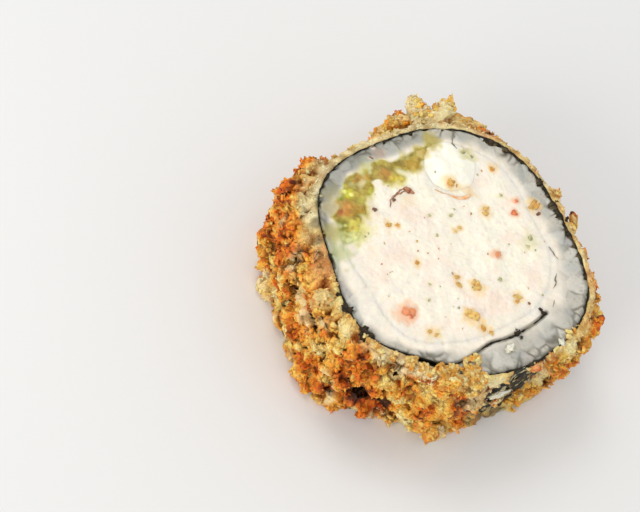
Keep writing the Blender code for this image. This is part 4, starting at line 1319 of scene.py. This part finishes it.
def make_skin():
    """The crab stick's skin, a thin orange strip under the cream cheese."""
    share, across = np.meshgrid(np.linspace(0, 1, 110), np.linspace(0, 1, 16), indexing="ij")
    angle = np.radians(SKIN_FROM + (SKIN_TO - SKIN_FROM) * share)
    way = polar(1.0, angle) * CHEESE_HALF
    wide = SKIN_THICKNESS * (0.9 + 1.3 * smooth(share, 0.35, 0.75))
    plan = CHEESE_CENTRE + way + unit(way) * (GAP * 0.5 + wide * across)[..., None]
    ends = np.minimum(smooth(share, 0, 0.2), 1 - smooth(share, 0.85, 1))
    edge = np.minimum(across, 1 - across)

    def surface(flat, seeds):
        seed, filling_seed = seeds
        relief = filling_relief(flat, filling_seed) + 0.14 * MM + 0.1 * MM * noise_at(flat, 1.2 * MM, seed)
        relief = relief - 0.5 * MM * (1 - smooth(edge, 0, 0.45)) - 0.5 * MM * (1 - ends)
        colour = mix((248, 206, 168), (236, 156, 98), smooth(noise_at(flat, 1.0 * MM, seed + 1), -0.5, 0.6))
        # Greyer pink at the first end: painted shadow along the cheese's lower edge
        colour = mix(colour, (214, 176, 148), 0.8 * (1 - smooth(share, 0.2, 0.5)))
        colour = mix(colour, (248, 206, 136), smooth(share, 0.75, 1.0))
        inside = smooth(edge, 0.0, 0.4) * smooth(ends, 0.0, 0.8)
        return relief, linear(mix((252, 234, 214), colour, inside))

    bumps = ((0.4 * MM, 0.08 * MM),)
    material = food("crab_skin", (0.4 * MM, 0.06, 0.01), (0.3, 0.5), bumps, 0.4, 1.0 * MM)
    seeds = zip(SKIN_SEEDS, FACE_SEEDS)
    two_faced("crab_skin_strip", plan, surface, seeds, material, "crab_stick_skin")


# ---- what lies on the cut face

# Thin strips on the upper face: look, half width in millimetres, and x, y along them
STRIPS = (
    ("brown", 0.14, ((-11.0, 6.4), (-10.8, 8.0), (-9.3, 9.2), (-7.6, 10.1))),
    ("brown", 0.55, ((-8.5, 10.2), (-7.6, 10.2), (-6.4, 9.8))),
    ("brown", 0.12, ((-9.9, 8.9), (-9.0, 9.9), (-8.0, 10.4))),
    ("grey", 0.13, ((16.9, 1.7), (17.9, 1.0), (18.5, -0.4))),
    ("grey", 0.12, ((17.8, -3.2), (17.7, -4.8), (17.1, -6.2))),
    ("grey", 0.09, ((16.9, -8.0), (16.6, -9.6))),
    ("grey", 0.12, ((2.0, 22.2), (1.2, 20.4), (2.0, 19.3))),
)
STRIP_STEPS, STRIP_SIDES = 40, 8
ABOVE = 30 * MM  # a height over all of the slice
FINE_REACH = 17.0  # how far from the axis the fine bits lie, in millimetres
STRIP_COLOURS = {"brown": ((196, 136, 98), (132, 78, 50)), "grey": ((150, 142, 124), (96, 90, 76))}


def face_heights(things, plan):
    """Heights of the topmost of these meshes under plan positions."""
    trees = []
    for thing in things:
        corners = [v.co for v in thing.data.vertices]
        trees.append(BVHTree.FromPolygons(corners, [p.vertices for p in thing.data.polygons]))
    heights = []
    for x, y in plan.reshape(-1, 2):
        hits = [tree.ray_cast(Vector((x, y, ABOVE)), Vector((0, 0, -1)))[0] for tree in trees]
        heights.append(max((hit.z for hit in hits if hit), default=SLICE_HEIGHT))
    return np.array(heights).reshape(plan.shape[:-1])


def make_bits(things, material):
    """Fried crumbs, crab bits, and dark and green specks on the upper face."""
    for number, (look, (pale, deep, _)) in enumerate(BIT_COLOURS.items()):
        draw = np.random.default_rng(200 + number)
        extra = FINE_BITS[look]
        plan = polar(FINE_REACH * np.sqrt(draw.uniform(0, 1, extra)), draw.uniform(0, math.tau, extra))
        small = lift(plan, draw.uniform(0.1, 0.24, extra))
        found = np.concatenate((BITS[look], small)) * MM
        halves = found[:, 2:] * np.array((1.3, 0.9, 0.3)) * draw.uniform(0.8, 1.2, (len(found), 3))
        places = lift(found[:, :2], face_heights(things, found[:, :2]) - 0.1 * halves[:, 2])
        points, faces, _ = crumbs(places, UP, halves, 3, 210 + number, 0.6)
        tone = noise_at(points, 0.5 * MM, 220) + draw.normal(scale=0.3, size=(len(found), 1))
        colours = linear(mix(pale, deep, smooth(tone, -0.5, 0.6)))
        mesh_object("face_bits_" + look, points, faces, colours, material)


def strip_loops(path, half, things):
    """Loops of points round one strip, along its wavy and tapering path."""
    path = np.array(path) * MM
    place = np.linspace(0, len(path) - 1, STRIP_STEPS)
    middle = np.stack([np.interp(place, np.arange(len(path)), path[:, k]) for k in (0, 1)], axis=-1)
    middle = middle + 0.25 * MM * noise_vectors(lift(middle, 0), 1.2 * MM, 230)[:, :2]
    across = beside(unit(np.gradient(middle, axis=0)))
    taper = np.sqrt(np.sin(math.pi * np.linspace(0.02, 0.98, STRIP_STEPS)))
    width = half * MM * taper * (1 + 0.7 * noise_at(lift(middle, 0), 0.7 * MM, 231))
    turns = circle(STRIP_SIDES)
    plan = middle[:, None] + across[:, None] * (width[:, None] * np.cos(turns))[..., None]
    rise = face_heights(things, middle)[:, None] + 0.05 * MM + 0.6 * width[:, None] * np.sin(turns)
    return lift(plan, rise)


def make_strips(things, material):
    """Thin brown and grey strips on the upper face."""
    strip_faces = tube_faces(STRIP_STEPS, STRIP_SIDES, False)
    for look, (pale, deep) in STRIP_COLOURS.items():
        strips = [strip_loops(path, half, things) for kind, half, path in STRIPS if kind == look]
        faces = []
        for number in range(len(strips)):
            first = number * STRIP_STEPS * STRIP_SIDES
            faces += [[corner + first for corner in face] for face in strip_faces]
        points = np.concatenate(strips)
        colours = linear(mix(pale, deep, smooth(noise_at(points, 0.5 * MM, 232), -0.5, 0.6)))
        mesh_object("face_strips_" + look, points, faces, colours, material)


# ---- floor, light and camera

FLOOR_HALF = 1.5
FLOOR_COLOUR = (0.80, 0.80, 0.79, 1)
FLOOR_ROUGHNESS = 0.35
AMBIENT = 0.76
LIGHTS = (  # name, place, diameter, power and colour
    ("key", (-0.25, 0.45, 0.80), 0.40, 1.9, (1.0, 0.985, 0.96)),
    ("fill", (-0.70, -0.50, 0.34), 0.50, 3.6, (1.0, 0.985, 0.955)),
)


def make_stage():
    data = bpy.data.meshes.new("floor")
    corners = [(x * FLOOR_HALF, y * FLOOR_HALF, 0) for x, y in ((-1, -1), (1, -1), (1, 1), (-1, 1))]
    data.from_pydata(corners, [], [(0, 1, 2, 3)])
    floor = bpy.data.objects.new("floor", data)
    bpy.context.scene.collection.objects.link(floor)
    material = bpy.data.materials.new("floor")
    material.use_nodes = True
    fill(material.node_tree.nodes["Principled BSDF"], Base_Color=FLOOR_COLOUR, Roughness=FLOOR_ROUGHNESS)
    data.materials.append(material)


def area_light(name, place, size, power, colour):
    light = bpy.data.lights.new(name, "AREA")
    light.shape = "DISK"
    light.size = size
    light.energy = power
    light.color = colour
    thing = bpy.data.objects.new(name, light)
    thing.location = place
    thing.rotation_euler = (Vector((0, 0, 0.01)) - Vector(place)).to_track_quat("-Z", "Y").to_euler()
    bpy.context.scene.collection.objects.link(thing)


def make_light():
    world = bpy.data.worlds.new("studio")
    world.use_nodes = True
    fill(world.node_tree.nodes["Background"], Color=(1.0, 1.0, 1.0, 1), Strength=AMBIENT)
    bpy.context.scene.world = world
    for light in LIGHTS:
        area_light(*light)


def make_camera():
    """The photograph's camera, which looks down on the face and a little round the slice."""
    tilt, turn = CAMERA_TILT, CAMERA_TURN
    back = Vector((-math.sin(tilt) * math.sin(turn), -math.sin(tilt) * math.cos(turn), math.cos(tilt)))
    rise = Vector((0, 0, 1)) - Vector((0, 0, 1)).dot(back) * back
    rise.normalize()
    side = rise.cross(back)
    right = math.sin(turn) * rise + math.cos(turn) * side
    up = math.cos(turn) * rise - math.sin(turn) * side
    focal = IMAGE_WIDTH * CAMERA_LENS / CAMERA_SENSOR
    across, down = FACE_PIXEL[0] - IMAGE_WIDTH / 2, FACE_PIXEL[1] - IMAGE_HEIGHT / 2
    ray = Vector((across / focal, -down / focal, -1))
    aim = ray.rotation_difference(Vector((0, 0, -1))).to_matrix()
    camera = bpy.data.objects.new("camera", bpy.data.cameras.new("camera"))
    camera.data.lens, camera.data.sensor_width = CAMERA_LENS, CAMERA_SENSOR
    camera.data.clip_start = 0.01
    pose = (Matrix((right, up, back)).transposed() @ aim).to_4x4()
    pose.translation = FACE_CENTRE + back * (focal / PIXELS_PER_METRE * ray.length)
    camera.matrix_world = pose
    bpy.context.scene.collection.objects.link(camera)
    bpy.context.scene.camera = camera
    bpy.context.scene.view_settings.view_transform = "Standard"


make_camera()
make_stage()
make_light()
make_panko()
make_nori()
crab_bumps = ((0.45 * MM, 0.08 * MM), (0.18 * MM, 0.03 * MM))
crab = food("crab", (0.5 * MM, 0.03, 0.004), (0.35, 0.55), crab_bumps, 0.5, 1.6 * MM)
face_pieces = [make_rice(), make_filling(crab), make_avocado(), make_cheese()]
make_skin()
make_bits(face_pieces, crab)
make_strips(face_pieces, crab)
